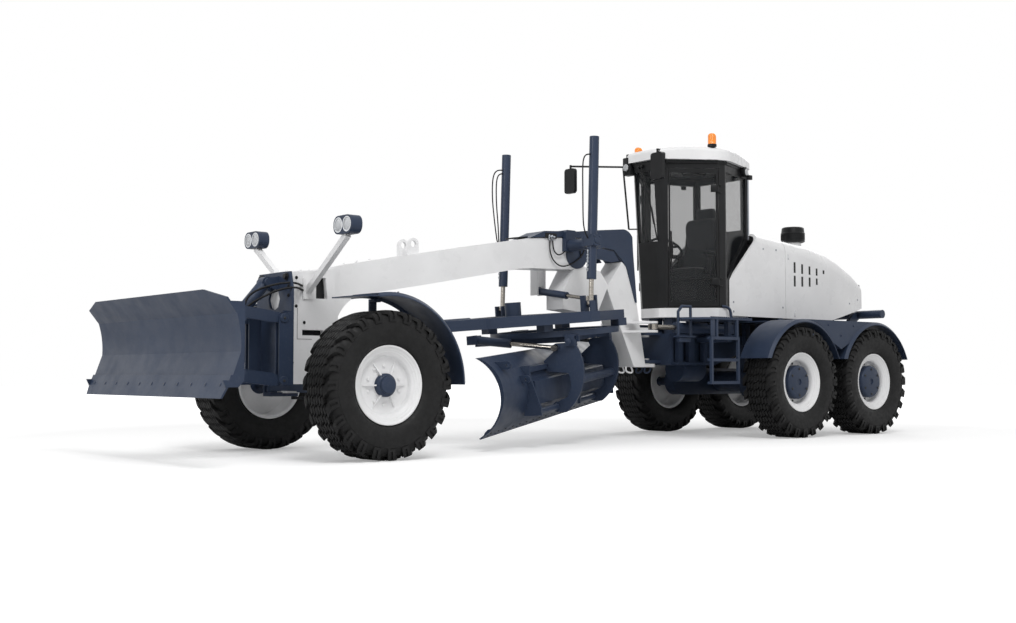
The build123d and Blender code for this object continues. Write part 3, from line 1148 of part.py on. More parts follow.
def main():
    os.makedirs("parts", exist_ok=True)
    wheels()
    save("rear_frame", rear_frame())
    save("rear_axle", rear_axle())
    save("engine_block", engine_block())
    save("cab_sill", cab_sill())
    save("cab_frame", cab_frame())
    save("cab_glass", *cab_panes())
    leaf, pane = door_leaf()
    save("door_left", leaf)
    save("door_right", mirrored(leaf))
    save("door_glass_left", pane)
    save("door_glass_right", mirrored(pane))
    save("cab_roof", cab_roof())
    save("cab_interior", *cab_interior())
    save("beacons", *beacons())
    front, rear = hoods()
    save("hood_front", front)
    save("hood_rear", rear)
    save("precleaner", precleaner())
    fender = rear_fenders()
    save("rear_fenders", fender, mirrored(fender))
    save("access_steps", access())
    save("front_frame", front_frame())
    nose = nose_box()
    save("nose_box", nose)
    leg = frame_leg()
    save("frame_leg", leg)
    save("nose_plate", nose_plate())
    save("lift_saddle", lift_saddle() - beam_outline() - leg)
    lamps = head_lamps()
    save("lamp_posts", *[post - nose - lamp for post, lamp in zip(lamp_posts(), lamps)])
    save("head_lamps", *lamps)
    save("front_axle", front_axle())
    steered = fuse(knuckle(), front_fender())
    save("knuckle_left", steered)
    save("knuckle_right", mirrored(steered))
    save("tie_rod", tie_rod())
    for piece, shape in zip(("barrel", "rod"), art_cylinder()):
        save(f"articulation_{piece}_left", shape)
        save(f"articulation_{piece}_right", mirrored(shape))
    for piece, shape in zip(("barrels", "rods"), lift_cylinder()):
        save(f"lift_{piece}", *both(shape))
    for piece, shape in zip(("barrel", "rod"), shift_cylinder()):
        save(f"centre_shift_{piece}", shape)
    for piece, shape in zip(("barrels", "rods"), pitch_cylinders()):
        save(f"pitch_{piece}", *[on_circle(half) for half in both(shape)])
    for piece, shape in zip(("barrel", "rod"), dozer_cylinder()):
        save(f"dozer_{piece}", shape)
    save("drawbar", drawbar())
    save("circle", on_circle(circle_ring()))
    save("blade_arms", on_circle(blade_arms()))
    save("mouldboard", on_circle(mouldboard()))
    save("dozer_blade", dozer_blade())
    save("dozer_lower_link", link_frame(DOZER_LOW_Z) * dozer_link(LOWER_LINK_H, 420, True))
    save("dozer_upper_link", link_frame(DOZER_HIGH_Z) * dozer_link(UPPER_LINK_H, 640, False))


main()
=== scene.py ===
import math

import bmesh
import bpy
from mathutils import Matrix, Vector


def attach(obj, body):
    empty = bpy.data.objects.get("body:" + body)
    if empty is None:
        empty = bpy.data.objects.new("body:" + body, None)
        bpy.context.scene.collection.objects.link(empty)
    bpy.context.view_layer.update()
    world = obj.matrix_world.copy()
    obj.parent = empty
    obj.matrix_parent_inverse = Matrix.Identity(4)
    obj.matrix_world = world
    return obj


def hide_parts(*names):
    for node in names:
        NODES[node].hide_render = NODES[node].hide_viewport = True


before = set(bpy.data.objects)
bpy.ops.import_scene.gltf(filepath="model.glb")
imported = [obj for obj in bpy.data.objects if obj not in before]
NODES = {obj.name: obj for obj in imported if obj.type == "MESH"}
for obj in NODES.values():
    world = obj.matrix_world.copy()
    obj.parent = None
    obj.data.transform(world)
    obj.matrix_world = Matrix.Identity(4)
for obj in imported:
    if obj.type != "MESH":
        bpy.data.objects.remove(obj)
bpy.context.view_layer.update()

# Motor grader with a front dozer blade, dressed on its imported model. Metres, X forward, Y to the machine's
# left, Z up, origin on the ground under the middle of the length.
# Stations given in millimetres are measured forward from the middle of the rear tandem.

MID_STATION = 3089.5
AHEAD = Vector((1, 0, 0))
LEFT = Vector((0, 1, 0))
UP = Vector((0, 0, 1))
DOWN = Vector((0, 0, -1))
SIDES = (("left", 1), ("right", -1))


def at(x, y, z):
    """Frame point, in metres, of a station, a side distance and a height in millimetres."""
    return Vector(((x - MID_STATION) / 1000, y / 1000, z / 1000))


# Camera and stage

CAMERA_AT = (9.1241, 9.6519, 0.7340)
CAMERA_RIGHT = (-0.7659, 0.6430, 0.0)
CAMERA_UP = (0.03275, 0.03901, 0.99873)
CAMERA_FORWARD = (-0.64213, -0.76490, 0.05093)
LENS = 43.057
SENSOR = 36.0


def make_camera():
    data = bpy.data.cameras.new("camera")
    data.lens = LENS
    data.sensor_width = SENSOR
    data.sensor_fit = "HORIZONTAL"
    data.clip_end = 300
    camera = bpy.data.objects.new("camera", data)
    bpy.context.scene.collection.objects.link(camera)
    right = Vector(CAMERA_RIGHT)
    up = Vector(CAMERA_UP)
    back = -Vector(CAMERA_FORWARD)
    camera.matrix_world = Matrix((
        (right.x, up.x, back.x, CAMERA_AT[0]),
        (right.y, up.y, back.y, CAMERA_AT[1]),
        (right.z, up.z, back.z, CAMERA_AT[2]),
        (0, 0, 0, 1),
    ))
    bpy.context.scene.camera = camera
    bpy.context.scene.view_settings.view_transform = "Standard"


# name, place, target, size, power in watts
LAMPS = [
    ("key", (5.0, 9.0, 12.0), (0.0, 0.0, 1.0), 6.0, 900),
    ("front", (14.0, 2.5, 6.0), (4.5, 0.0, 1.0), 4.0, 420),
    ("rear", (-12.0, -5.0, 9.0), (-2.0, 0.0, 1.5), 7.0, 300),
]
WORLD_LIGHT = 0.57


def make_lamps():
    for name, place, target, size, power in LAMPS:
        data = bpy.data.lights.new(name, "AREA")
        data.shape = "DISK"
        data.size = size
        data.energy = power
        lamp = bpy.data.objects.new(name, data)
        lamp.location = place
        aim = Vector(target) - Vector(place)
        lamp.rotation_euler = aim.to_track_quat("-Z", "Y").to_euler()
        bpy.context.scene.collection.objects.link(lamp)


def node_of(tree, kind, **values):
    """New shader node with values set on its own inputs."""
    node = tree.nodes.new("ShaderNode" + kind)
    for key, value in values.items():
        node.inputs[key.replace("_", " ")].default_value = value
    return node


def make_world():
    """Soft even light that is white where the camera, glass or gloss sees it."""
    world = bpy.data.worlds.new("studio")
    bpy.context.scene.world = world
    world.use_nodes = True
    tree = world.node_tree
    tree.nodes.clear()
    out = node_of(tree, "OutputWorld")
    ground = node_of(tree, "Background", Color=(1, 1, 1, 1))
    path = node_of(tree, "LightPath")
    seen = path.outputs["Is Camera Ray"]
    for kind in ("Is Transmission Ray", "Is Glossy Ray"):
        either = node_of(tree, "Math")
        either.operation = "MAXIMUM"
        tree.links.new(seen, either.inputs[0])
        tree.links.new(path.outputs[kind], either.inputs[1])
        seen = either.outputs[0]
    level = node_of(tree, "MapRange", To_Min=WORLD_LIGHT, To_Max=1.0)
    tree.links.new(seen, level.inputs["Value"])
    tree.links.new(level.outputs[0], ground.inputs["Strength"])
    tree.links.new(ground.outputs[0], out.inputs["Surface"])


FLOOR_HALF = 60.0
FLOOR_GLOW = 0.30
FADE_FROM = 6.5
FADE_TO = 14.0
FLOOR_TONE = 0.80


def make_floor():
    """Pale floor that fades into the white background and keeps the object's shadow."""
    mesh = bpy.data.meshes.new("floor")
    bm = bmesh.new()
    bmesh.ops.create_grid(bm, x_segments=8, y_segments=8, size=FLOOR_HALF)
    bm.to_mesh(mesh)
    bm.free()
    floor = bpy.data.objects.new("floor", mesh)
    bpy.context.scene.collection.objects.link(floor)
    mat = bpy.data.materials.new("floor")
    mat.use_nodes = True
    tree = mat.node_tree
    tree.nodes.clear()
    out = node_of(tree, "OutputMaterial")
    matte = node_of(tree, "BsdfDiffuse", Color=(FLOOR_TONE, FLOOR_TONE, FLOOR_TONE, 1))
    glow = node_of(tree, "Emission")
    path = node_of(tree, "LightPath")
    coords = node_of(tree, "TexCoord")
    reach = node_of(tree, "VectorMath")
    reach.operation = "LENGTH"
    tree.links.new(coords.outputs["Object"], reach.inputs[0])
    fade = node_of(tree, "MapRange", From_Min=FADE_FROM, From_Max=FADE_TO, To_Min=FLOOR_GLOW, To_Max=1.0)
    tree.links.new(reach.outputs["Value"], fade.inputs["Value"])
    level = node_of(tree, "Math")
    level.operation = "MULTIPLY"
    tree.links.new(fade.outputs[0], level.inputs[1])
    tree.links.new(path.outputs["Is Camera Ray"], level.inputs[0])
    tree.links.new(level.outputs[0], glow.inputs["Strength"])
    add = node_of(tree, "AddShader")
    tree.links.new(matte.outputs[0], add.inputs[0])
    tree.links.new(glow.outputs[0], add.inputs[1])
    tree.links.new(add.outputs[0], out.inputs["Surface"])
    mesh.materials.append(mat)


# Materials


class Paint:
    """Node tree of one principled material, built from a few kinds of pattern."""

    def __init__(self, name):
        self.mat = bpy.data.materials.new(name)
        self.mat.use_nodes = True
        self.tree = self.mat.node_tree
        self.shader = self.tree.nodes["Principled BSDF"]
        self.coords = node_of(self.tree, "TexCoord").outputs["Object"]

    def set(self, **values):
        for key, value in values.items():
            self.shader.inputs[key.replace("_", " ")].default_value = value
        return self

    def link(self, source, target):
        self.tree.links.new(source, target)

    def noise(self, scale, detail=3.0, rough=0.5, stretch=None):
        node = node_of(self.tree, "TexNoise", Scale=scale, Detail=detail, Roughness=rough)
        source = self.coords
        if stretch:
            scaled = node_of(self.tree, "VectorMath")
            scaled.operation = "MULTIPLY"
            scaled.inputs[1].default_value = stretch
            self.link(source, scaled.inputs[0])
            source = scaled.outputs[0]
        self.link(source, node.inputs["Vector"])
        return node.outputs["Fac"]

    def wave(self, **values):
        node = node_of(self.tree, "TexWave", **values)
        self.link(self.coords, node.inputs["Vector"])
        return node

    def ramp(self, source, stops):
        node = self.tree.nodes.new("ShaderNodeValToRGB")
        ramp = node.color_ramp
        while len(ramp.elements) < len(stops):
            ramp.elements.new(0.5)
        for element, (place, colour) in zip(ramp.elements, stops):
            element.position = place
            element.color = (*colour, 1) if len(colour) == 3 else colour
        self.link(source, node.inputs["Fac"])
        return node.outputs["Color"]

    def spread(self, source, low, high, start=0.35, end=0.65):
        node = node_of(self.tree, "MapRange", From_Min=start, From_Max=end, To_Min=low, To_Max=high)
        self.link(source, node.inputs["Value"])
        return node.outputs[0]

    def mix(self, factor, first, second):
        node = self.tree.nodes.new("ShaderNodeMix")
        node.data_type = "RGBA"
        self.link(factor, node.inputs["Factor"])
        for value, socket in ((first, node.inputs[6]), (second, node.inputs[7])):
            if isinstance(value, tuple):
                socket.default_value = (*value, 1)
            else:
                self.link(value, socket)
        return node.outputs[2]

    def height(self):
        split = node_of(self.tree, "SeparateXYZ")
        self.link(self.coords, split.inputs[0])
        return split.outputs["Z"]

    def bump(self, source, strength, distance):
        node = node_of(self.tree, "Bump", Strength=strength, Distance=distance)
        self.link(source, node.inputs["Height"])
        last = self.shader.inputs["Normal"]
        if last.is_linked:
            self.link(last.links[0].from_socket, node.inputs["Normal"])
        self.link(node.outputs["Normal"], last)
        return self

    def colour(self, source):
        self.link(source, self.shader.inputs["Base Color"])
        return self

    def rough(self, source):
        self.link(source, self.shader.inputs["Roughness"])
        return self


def shade(colour, factor):
    return tuple(min(1.0, part * factor) for part in colour)


def enamel(name, colour, gloss=0.32, dust=(0.34, 0.32, 0.29), dust_share=0.05, coat=0.0):
    """Sprayed machine paint: faint tone drift, orange peel, road dust near the ground."""
    paint = Paint(name)
    tone = paint.noise(1.7, 4.0)
    base = paint.ramp(tone, [(0.3, shade(colour, 0.93)), (0.7, shade(colour, 1.05))])
    speck = paint.spread(paint.noise(38.0, 4.0, 0.6), 0.0, dust_share, 0.52, 0.78)
    low = paint.spread(paint.height(), 1.0, 0.25, 0.3, 1.9)
    both = node_of(paint.tree, "Math")
    both.operation = "MULTIPLY"
    paint.link(speck, both.inputs[0])
    paint.link(low, both.inputs[1])
    paint.colour(paint.mix(both.outputs[0], base, dust))
    paint.rough(paint.spread(paint.noise(6.0, 5.0), gloss - 0.05, gloss + 0.09))
    paint.bump(paint.noise(420.0, 2.0), 0.05, 0.0006)
    return paint.set(Coat_Weight=coat, Coat_Roughness=0.12, Specular_IOR_Level=0.24).mat


def rubber(name, colour=(0.0085, 0.0085, 0.0088)):
    paint = Paint(name)
    tone = paint.noise(9.0, 5.0, 0.6)
    base = paint.ramp(tone, [(0.3, shade(colour, 0.75)), (0.7, shade(colour, 1.35))])
    dusty = paint.spread(paint.noise(24.0, 6.0, 0.65), 0.0, 0.06, 0.5, 0.8)
    paint.colour(paint.mix(dusty, base, (0.09, 0.085, 0.078)))
    paint.rough(paint.spread(paint.noise(30.0, 4.0), 0.48, 0.66))
    paint.bump(paint.noise(260.0, 3.0), 0.16, 0.0012)
    return paint.set(Specular_IOR_Level=0.22).mat


def plastic(name, colour, low=0.38, high=0.52, grain=520.0):
    paint = Paint(name)
    base = paint.ramp(paint.noise(5.0, 3.0), [(0.3, shade(colour, 0.85)), (0.7, shade(colour, 1.15))])
    paint.colour(base)
    paint.rough(paint.spread(paint.noise(18.0, 4.0), low, high))
    paint.bump(paint.noise(grain, 2.0), 0.10, 0.0005)
    return paint.set(Specular_IOR_Level=0.18).mat


def metal(name, colour, low, high, scratch=(1.0, 1.0, 40.0)):
    paint = Paint(name)
    streak = paint.noise(3.0, 5.0, 0.6, scratch)
    paint.colour(paint.ramp(streak, [(0.3, shade(colour, 0.86)), (0.7, shade(colour, 1.06))]))
    paint.rough(paint.spread(streak, low, high))
    return paint.set(Metallic=1.0).mat


def cast_iron(name, colour=(0.030, 0.032, 0.036)):
    paint = Paint(name)
    base = paint.ramp(paint.noise(7.0, 5.0, 0.6), [(0.3, shade(colour, 0.7)), (0.7, shade(colour, 1.4))])
    paint.colour(base)
    paint.rough(paint.spread(paint.noise(14.0, 4.0), 0.42, 0.62))
    paint.bump(paint.noise(150.0, 4.0), 0.25, 0.0015)
    return paint.set(Metallic=0.35).mat


def window_glass(name, tint=(0.020, 0.023, 0.026), alpha=0.24):
    paint = Paint(name)
    paint.colour(paint.ramp(paint.noise(0.8, 2.0), [(0.3, shade(tint, 0.9)), (0.7, shade(tint, 1.2))]))
    paint.rough(paint.spread(paint.noise(3.0, 3.0), 0.015, 0.04))
    return paint.set(Alpha=alpha, IOR=1.5, Specular_IOR_Level=0.5).mat


def lens(name, colour, alpha, glow=0.0, ribs=0.0):
    paint = Paint(name)
    paint.colour(paint.ramp(paint.noise(12.0, 3.0), [(0.3, shade(colour, 0.85)), (0.7, shade(colour, 1.1))]))
    paint.rough(paint.spread(paint.noise(9.0, 3.0), 0.05, 0.14))
    if ribs:
        wave = paint.wave(Scale=ribs)
        wave.bands_direction = "Z"
        paint.bump(wave.outputs["Fac"], 0.4, 0.002)
    return paint.set(Alpha=alpha, IOR=1.46, Coat_Weight=0.6, Emission_Color=(*colour, 1),
                     Emission_Strength=glow).mat


def fabric(name, colour=(0.035, 0.036, 0.040)):
    paint = Paint(name)
    weave = paint.wave(Scale=260.0, Distortion=1.5)
    paint.colour(paint.ramp(weave.outputs["Fac"], [(0.2, shade(colour, 0.7)), (0.8, shade(colour, 1.3))]))
    paint.rough(paint.spread(paint.noise(60.0, 3.0), 0.8, 0.95))
    paint.bump(weave.outputs["Fac"], 0.35, 0.0008)
    return paint.set(Sheen_Weight=0.25).mat


SLATE = (0.027, 0.040, 0.072)
WHITE = (0.80, 0.80, 0.805)

MATERIALS = {
    "blue": enamel("slate_blue", SLATE, 0.36),
    "white": enamel("white_enamel", WHITE, 0.30, dust_share=0.05),
    "rim_white": enamel("rim_enamel", shade(WHITE, 0.97), 0.36, dust_share=0.12),
    "tyre": rubber("tyre_rubber"),
    "cab_black": plastic("cab_black", (0.012, 0.0125, 0.0135), 0.28, 0.40),
    "interior": plastic("interior_plastic", (0.024, 0.025, 0.027), 0.5, 0.7),
    "glass": window_glass("cab_glass"),
    "beacon": lens("orange_lens", (0.90, 0.26, 0.012), 0.96, 0.16, 60.0),
    "iron": cast_iron("cast_iron"),
    "chrome": metal("chrome_rod", (0.36, 0.335, 0.30), 0.16, 0.28),
    "steel": metal("worn_edge", (0.30, 0.32, 0.35), 0.28, 0.46),
    "hose": rubber("hose_rubber", (0.008, 0.008, 0.009)),
    "seat": fabric("seat_cloth"),
    "lamp_glass": lens("lamp_lens", (0.85, 0.87, 0.90), 0.55, 0.0, 90.0),
    "mirror": metal("mirror_face", (0.80, 0.82, 0.84), 0.02, 0.04, (1.0, 1.0, 1.0)),
}

# CAD nodes of each material; tyres and rims have their own, and the rest are blue
FINISH = {
    "white": ["cab_sill", "cab_roof", "hood_front", "hood_rear", "front_frame", "nose_box", "frame_leg",
              "lamp_posts"],
    "cab_black": ["cab_frame", "door_left", "door_right", "precleaner"],
    "interior": ["cab_interior"],
    "glass": ["cab_glass", "door_glass_left", "door_glass_right"],
    "beacon": ["beacons"],
    "iron": ["engine_block", "tie_rod"],
    "chrome": ["articulation_rod_left", "articulation_rod_right", "lift_rods", "centre_shift_rod", "pitch_rods",
               "dozer_rod"],
    "tyre": [name for name in NODES if name.startswith("tyre")],
    "rim_white": [name for name in NODES if name.startswith("rim")],
}


def finish_nodes():
    """Give each CAD node its material."""
    keys = {name: key for key, names in FINISH.items() for name in names}
    for name, node in NODES.items():
        node.data.materials.clear()
        node.data.materials.append(MATERIALS[keys.get(name, "blue")])


# Mesh helpers


def mesh_of(name, bm, keys, sharp):
    """Shaded mesh with its materials, made from a bmesh that is then freed."""
    bmesh.ops.recalc_face_normals(bm, faces=bm.faces)
    mesh = bpy.data.meshes.new(name)
    bm.to_mesh(mesh)
    bm.free()
    for key in keys:
        mesh.materials.append(MATERIALS[key])
    mesh.shade_smooth()
    mesh.set_sharp_from_angle(angle=math.radians(sharp))
    return mesh


def add_piece(name, bm, keys, body, sharp=30.0):
    """Piece from a bmesh, with its materials, riding on a body."""
    piece = bpy.data.objects.new(name, mesh_of(name, bm, keys, sharp))
    bpy.context.scene.collection.objects.link(piece)
    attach(piece, body)
    return piece


def polar(r, angle, y):
    """Point at a radius and an angle about the Y axis."""
    return Vector((r * math.cos(angle), y, r * math.sin(angle)))


def lathe(bm, profile, steps):
    """Closed section of (radius, side distance) pairs turned about the Y axis."""
    rings = []
    for i in range(steps):
        angle = 2 * math.pi * i / steps
        rings.append([bm.verts.new(polar(r, angle, y)) for r, y in profile])
    count = len(profile)
    for i in range(steps):
        here = rings[i]
        there = rings[(i + 1) % steps]
        for j in range(count):
            k = (j + 1) % count
            bm.faces.new((here[j], here[k], there[k], there[j]))


def frame_of(axis):
    """Two unit vectors across an axis."""
    axis = axis.normalized()
    side = axis.cross(UP)
    if side.length < 0.1:
        side = axis.cross(AHEAD)
    side.normalize()
    return axis, side, side.cross(axis)


def turned(bm, base, axis, profile, slot=0, steps=20):
    """Solid of revolution from (radius, height) pairs along an axis; both ends are closed."""
    axis, side, up = frame_of(axis)
    rings = []
    for r, h in profile:
        ring = []
        for i in range(steps):
            a = 2 * math.pi * i / steps
            ring.append(bm.verts.new(base + axis * h + side * (r * math.cos(a)) + up * (r * math.sin(a))))
        rings.append(ring)
    for low, high in zip(rings, rings[1:]):
        for i in range(steps):
            j = (i + 1) % steps
            bm.faces.new((low[i], low[j], high[j], high[i])).material_index = slot
    bm.faces.new(list(reversed(rings[0]))).material_index = slot
    bm.faces.new(rings[-1]).material_index = slot


# radius and height of a washer and of a hexagon head, as shares of the head's radius
WASHER = [(1.35, 0), (1.35, 0.18), (1.2, 0.24)]
HEXAGON = [(1, 0.2), (1, 0.72), (0.82, 0.86)]


def bolt(bm, base, axis, r, slot=0):
    """Hexagon head on a washer."""
    turned(bm, base, axis, [(r * wide, r * high) for wide, high in WASHER], slot, 14)
    turned(bm, base, axis, [(r * wide, r * high) for wide, high in HEXAGON], slot, 6)


def bolt_circle(bm, count, radius, y, r, slot, turn=0.0):
    """Bolts on a circle about the Y axis, set off by a share of their pitch."""
    for i in range(count):
        bolt(bm, polar(radius, 2 * math.pi * (i + turn) / count, y), LEFT, r, slot)


def block(bm, corner, opposite, slot=0, bevel=0.0):
    """Box between two corners with its edges bevelled."""
    lo = Vector([min(a, b) for a, b in zip(corner, opposite)])
    hi = Vector([max(a, b) for a, b in zip(corner, opposite)])
    made = bmesh.ops.create_cube(bm, size=1.0)
    verts = made["verts"]
    for v in verts:
        v.co = Vector([lo[i] + (v.co[i] + 0.5) * (hi[i] - lo[i]) for i in range(3)])
    faces = {f for v in verts for f in v.link_faces}
    for f in faces:
        f.material_index = slot
    if bevel:
        edges = {e for v in verts for e in v.link_edges}
        bmesh.ops.bevel(bm, geom=list(edges), offset=bevel, segments=2, affect="EDGES", profile=0.5)


def block_at(bm, middle, along, out, size, slot=0):
    """Bevelled box turned to two level directions, with its middle at a point."""
    half = [s / 2 for s in size]
    cube = bmesh.ops.create_cube(bm, size=1.0)
    for v in cube["verts"]:
        p = v.co.copy()
        v.co = middle + along * (2 * p.x * half[0]) + out * (2 * p.y * half[1]) + UP * (2 * p.z * half[2])
    for f in {f for v in cube["verts"] for f in v.link_faces}:
        f.material_index = slot
    edges = {e for v in cube["verts"] for e in v.link_edges}
    bmesh.ops.bevel(bm, geom=list(edges), offset=min(half) * 0.35, segments=2, affect="EDGES", profile=0.5)


def tube_between(bm, start, end, r, slot=0, steps=16):
    """Round bar with broken edges between two points."""
    axis = end - start
    long = axis.length
    edge = r * 0.08
    turned(bm, start, axis, [(r * 0.94, 0), (r, edge), (r, long - edge), (r * 0.94, long)], slot, steps)


def piped(name, points, r, key, body):
    """Bent rod or pipe along a smooth curve."""
    data = bpy.data.curves.new(name, "CURVE")
    data.dimensions = "3D"
    data.bevel_depth = r
    data.bevel_resolution = 4
    data.resolution_u = 10
    data.use_fill_caps = True
    spline = data.splines.new("NURBS")
    spline.points.add(len(points) - 1)
    for spot, point in zip(spline.points, points):
        spot.co = (*point, 1)
    spline.order_u = 3
    spline.use_endpoint_u = True
    data.materials.append(MATERIALS[key])
    piece = bpy.data.objects.new(name, data)
    bpy.context.scene.collection.objects.link(piece)
    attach(piece, body)
    return piece


# Wheels

TYRE_R = 0.635
TRACK_HALF = 1.017
LUGS = 24
LUG_W = 0.078
LUG_LEAN = math.radians(16)
SLOT_W = 0.022
SLOT_DEEP = 0.013
# name, station in millimetres
AXLES = [("front", 6399.0), ("mid", 716.5), ("rear", -716.5)]
# radius, half width of the carcass from bead to crown
CARCASS = [(0.3178, 0.149), (0.330, 0.150), (0.345, 0.1535), (0.356, 0.170), (0.372, 0.181), (0.400, 0.190),
           (0.430, 0.197), (0.470, 0.2005), (0.505, 0.2015), (0.528, 0.2005), (0.531, 0.1975), (0.552, 0.194),
           (0.578, 0.183), (0.596, 0.165), (0.604, 0.130), (0.607, 0.060)]
# radius, half width along the outer face of a shoulder lug
LUG_PATH = [(0.534, 0.2035), (0.556, 0.2065), (0.580, 0.2080), (0.612, 0.2020), (0.626, 0.1940),
            (0.6325, 0.1650), (0.6345, 0.1280)]
LUG_ROOT = 0.030
ROOT_GROW = 1.06
ROOT_HALF = 0.196
# place on the shoulder where a lug's width and lean are measured, and where its slot sinks
LUG_R = 0.6
SLOT_R = 0.598
SHOULDER_Y = 0.2
SHOULDER_R = 0.575
BLOCKS_ROUND = 48
BLOCK_ROWS = 6
BLOCK_FIELD = 0.122
BLOCK_GAP = 0.003
BLOCK_SHARE = 0.86
BLOCK_CROWN = 0.0010
# radius, share of the block's size there
BLOCK_RISE = [(0.600, 1.0), (0.6305, 0.97), (0.6345, 0.86)]


def shoulder_lug(bm, angle, side):
    """Slotted lug that runs from the tread over the shoulder."""
    spots = [-LUG_W / 2, -SLOT_W / 2, SLOT_W / 2, LUG_W / 2]
    top = []
    root = []
    for r, y in LUG_PATH:
        lean = angle + side * LUG_LEAN * (y - SHOULDER_Y) / SHOULDER_Y
        top.append([bm.verts.new(polar(r, lean + s / LUG_R, side * y)) for s in spots])
        deep_y = min(y - LUG_ROOT if r < LUG_R else y, ROOT_HALF)
        deep_r = r if r < SHOULDER_R else r - LUG_ROOT
        root.append([bm.verts.new(polar(deep_r, lean + s * ROOT_GROW / LUG_R, side * deep_y))
                     for s in (spots[0], spots[-1])])
    slot_faces = []
    for i in range(len(top) - 1):
        for j in range(3):
            face = bm.faces.new((top[i][j], top[i][j + 1], top[i + 1][j + 1], top[i + 1][j]))
            if j == 1 and 1 <= i <= 3:
                slot_faces.append(face)
        bm.faces.new((root[i][0], top[i][0], top[i + 1][0], root[i + 1][0]))
        bm.faces.new((top[i][3], root[i][1], root[i + 1][1], top[i + 1][3]))
    for i in (0, -1):
        bm.faces.new([*top[i], root[i][1], root[i][0]])
    sunk = bmesh.ops.extrude_face_region(bm, geom=slot_faces)
    middle = polar(SLOT_R - SLOT_DEEP, angle, side * (SHOULDER_Y - SLOT_DEEP))
    inward = (middle - polar(SLOT_R, angle, side * SHOULDER_Y)).normalized()
    for v in sunk["geom"]:
        if isinstance(v, bmesh.types.BMVert):
            v.co += inward * SLOT_DEEP
    bmesh.ops.delete(bm, geom=slot_faces, context="FACES_ONLY")


def tread_block(bm, angle, y0, y1, side):
    """Small tread block with chamfered edges."""
    half = math.pi / BLOCKS_ROUND * BLOCK_SHARE
    mid = (y0 + y1) / 2
    rings = []
    for r, grow in BLOCK_RISE:
        ring = []
        for u, v in ((-1, -1), (1, -1), (1, 1), (-1, 1)):
            y = mid + (y1 - y0) / 2 * v * grow
            lean = angle + side * LUG_LEAN * (abs(y) - SHOULDER_Y) / SHOULDER_Y
            ring.append(bm.verts.new(polar(r - BLOCK_CROWN * (y / 0.1) ** 2, lean + half * u * grow, y)))
        rings.append(ring)
    for low, high in zip(rings, rings[1:]):
        for i in range(4):
            j = (i + 1) % 4
            bm.faces.new((low[i], low[j], high[j], high[i]))
    bm.faces.new(rings[-1])


def tyre_mesh():
    """Carcass with slotted shoulder lugs and rows of tread blocks, staggered from row to row."""
    bm = bmesh.new()
    lathe(bm, CARCASS + [(r, -y) for r, y in reversed(CARCASS)], 120)
    pitch = 2 * math.pi / LUGS
    for i in range(LUGS):
        shoulder_lug(bm, i * pitch, 1)
        shoulder_lug(bm, i * pitch, -1)
    wide = 2 * BLOCK_FIELD / BLOCK_ROWS
    for row in range(BLOCK_ROWS):
        y0 = -BLOCK_FIELD + row * wide
        side = 1 if y0 + wide / 2 > 0 else -1
        shift = 0.0 if side > 0 else 0.5
        for i in range(BLOCKS_ROUND):
            angle = (i + shift + 0.5 * (row % 2)) * 2 * math.pi / BLOCKS_ROUND
            tread_block(bm, angle, y0 + BLOCK_GAP, y0 + wide - BLOCK_GAP, side)
    return mesh_of("tyre_tread", bm, ("tyre",), 32)


RIM_EDGE = [(0.3175, -0.149), (0.336, -0.149), (0.338, -0.152), (0.338, -0.159), (0.335, -0.1615),
            (0.324, -0.1615), (0.318, -0.156), (0.306, -0.148), (0.303, -0.120)]
RIM_FACE = [(0.3175, 0.149), (0.336, 0.149), (0.338, 0.152), (0.338, 0.159), (0.335, 0.1615), (0.327, 0.1615),
            (0.321, 0.158), (0.317, 0.150), (0.311, 0.146), (0.300, 0.1440), (0.296, 0.140), (0.288, 0.134),
            (0.282, 0.1335), (0.276, 0.128), (0.266, 0.1215), (0.258, 0.116), (0.250, 0.104), (0.246, 0.090)]
RIM_KEYS = ("rim_white", "blue", "iron")
RIM_SHARP = 35
# side distance of each rim's disc from the tyre's middle
FRONT_DISC = 0.070
REAR_DISC = 0.020
STUDS = 10
HUB_BOLTS = 6
RIB_COUNT = 6
RIB_HALF = 0.006
# radius, height over the disc
RIB = [(0.098, 0), (0.098, 0.044), (0.112, 0.040), (0.215, 0.006), (0.222, 0)]
FRONT_DISH = [(0.243, 0.010), (0.232, 0.002), (0.205, 0), (0.150, 0), (0.118, 0.006), (0.104, 0.010),
              (0.060, 0.010), (0.060, -0.016), (0.235, -0.016), (0.252, -0.010), (0.300, -0.012)]
REAR_DISH = [(0.244, 0.012), (0.232, 0), (0.120, 0), (0.060, 0), (0.060, -0.016), (0.240, -0.016), (0.262, 0),
             (0.300, 0)]
# radius, side distance
FRONT_HUB = [(0.100, 0.052), (0.100, 0.112), (0.097, 0.118), (0.086, 0.122), (0.082, 0.126), (0.074, 0.128),
             (0.072, 0.134), (0.072, 0.151), (0.068, 0.156), (0.058, 0.158)]
REAR_DRUM = [(0.192, REAR_DISC), (0.192, 0.104), (0.188, 0.112), (0.180, 0.119), (0.172, 0.122),
             (0.040, 0.122), (0.036, 0.119), (0.034, 0.108), (0.010, 0.106)]


def rim_section(dish, disc):
    """Closed section of a rim: outer flange, dish and inner flange."""
    return RIM_FACE + [(r, disc + y) for r, y in dish] + list(reversed(RIM_EDGE))


def dish_rib(bm, angle):
    """Thin web between the hub and the dish of a front rim."""
    out = polar(1, angle, 0)
    across = polar(1, angle + math.pi / 2, 0)
    faces = []
    for shift in (-RIB_HALF, RIB_HALF):
        faces.append([bm.verts.new(out * r + across * shift + LEFT * (FRONT_DISC + y)) for r, y in RIB])
    bm.faces.new(list(reversed(faces[0])))
    bm.faces.new(faces[1])
    for j in range(len(RIB)):
        k = (j + 1) % len(RIB)
        bm.faces.new((faces[0][j], faces[0][k], faces[1][k], faces[1][j]))


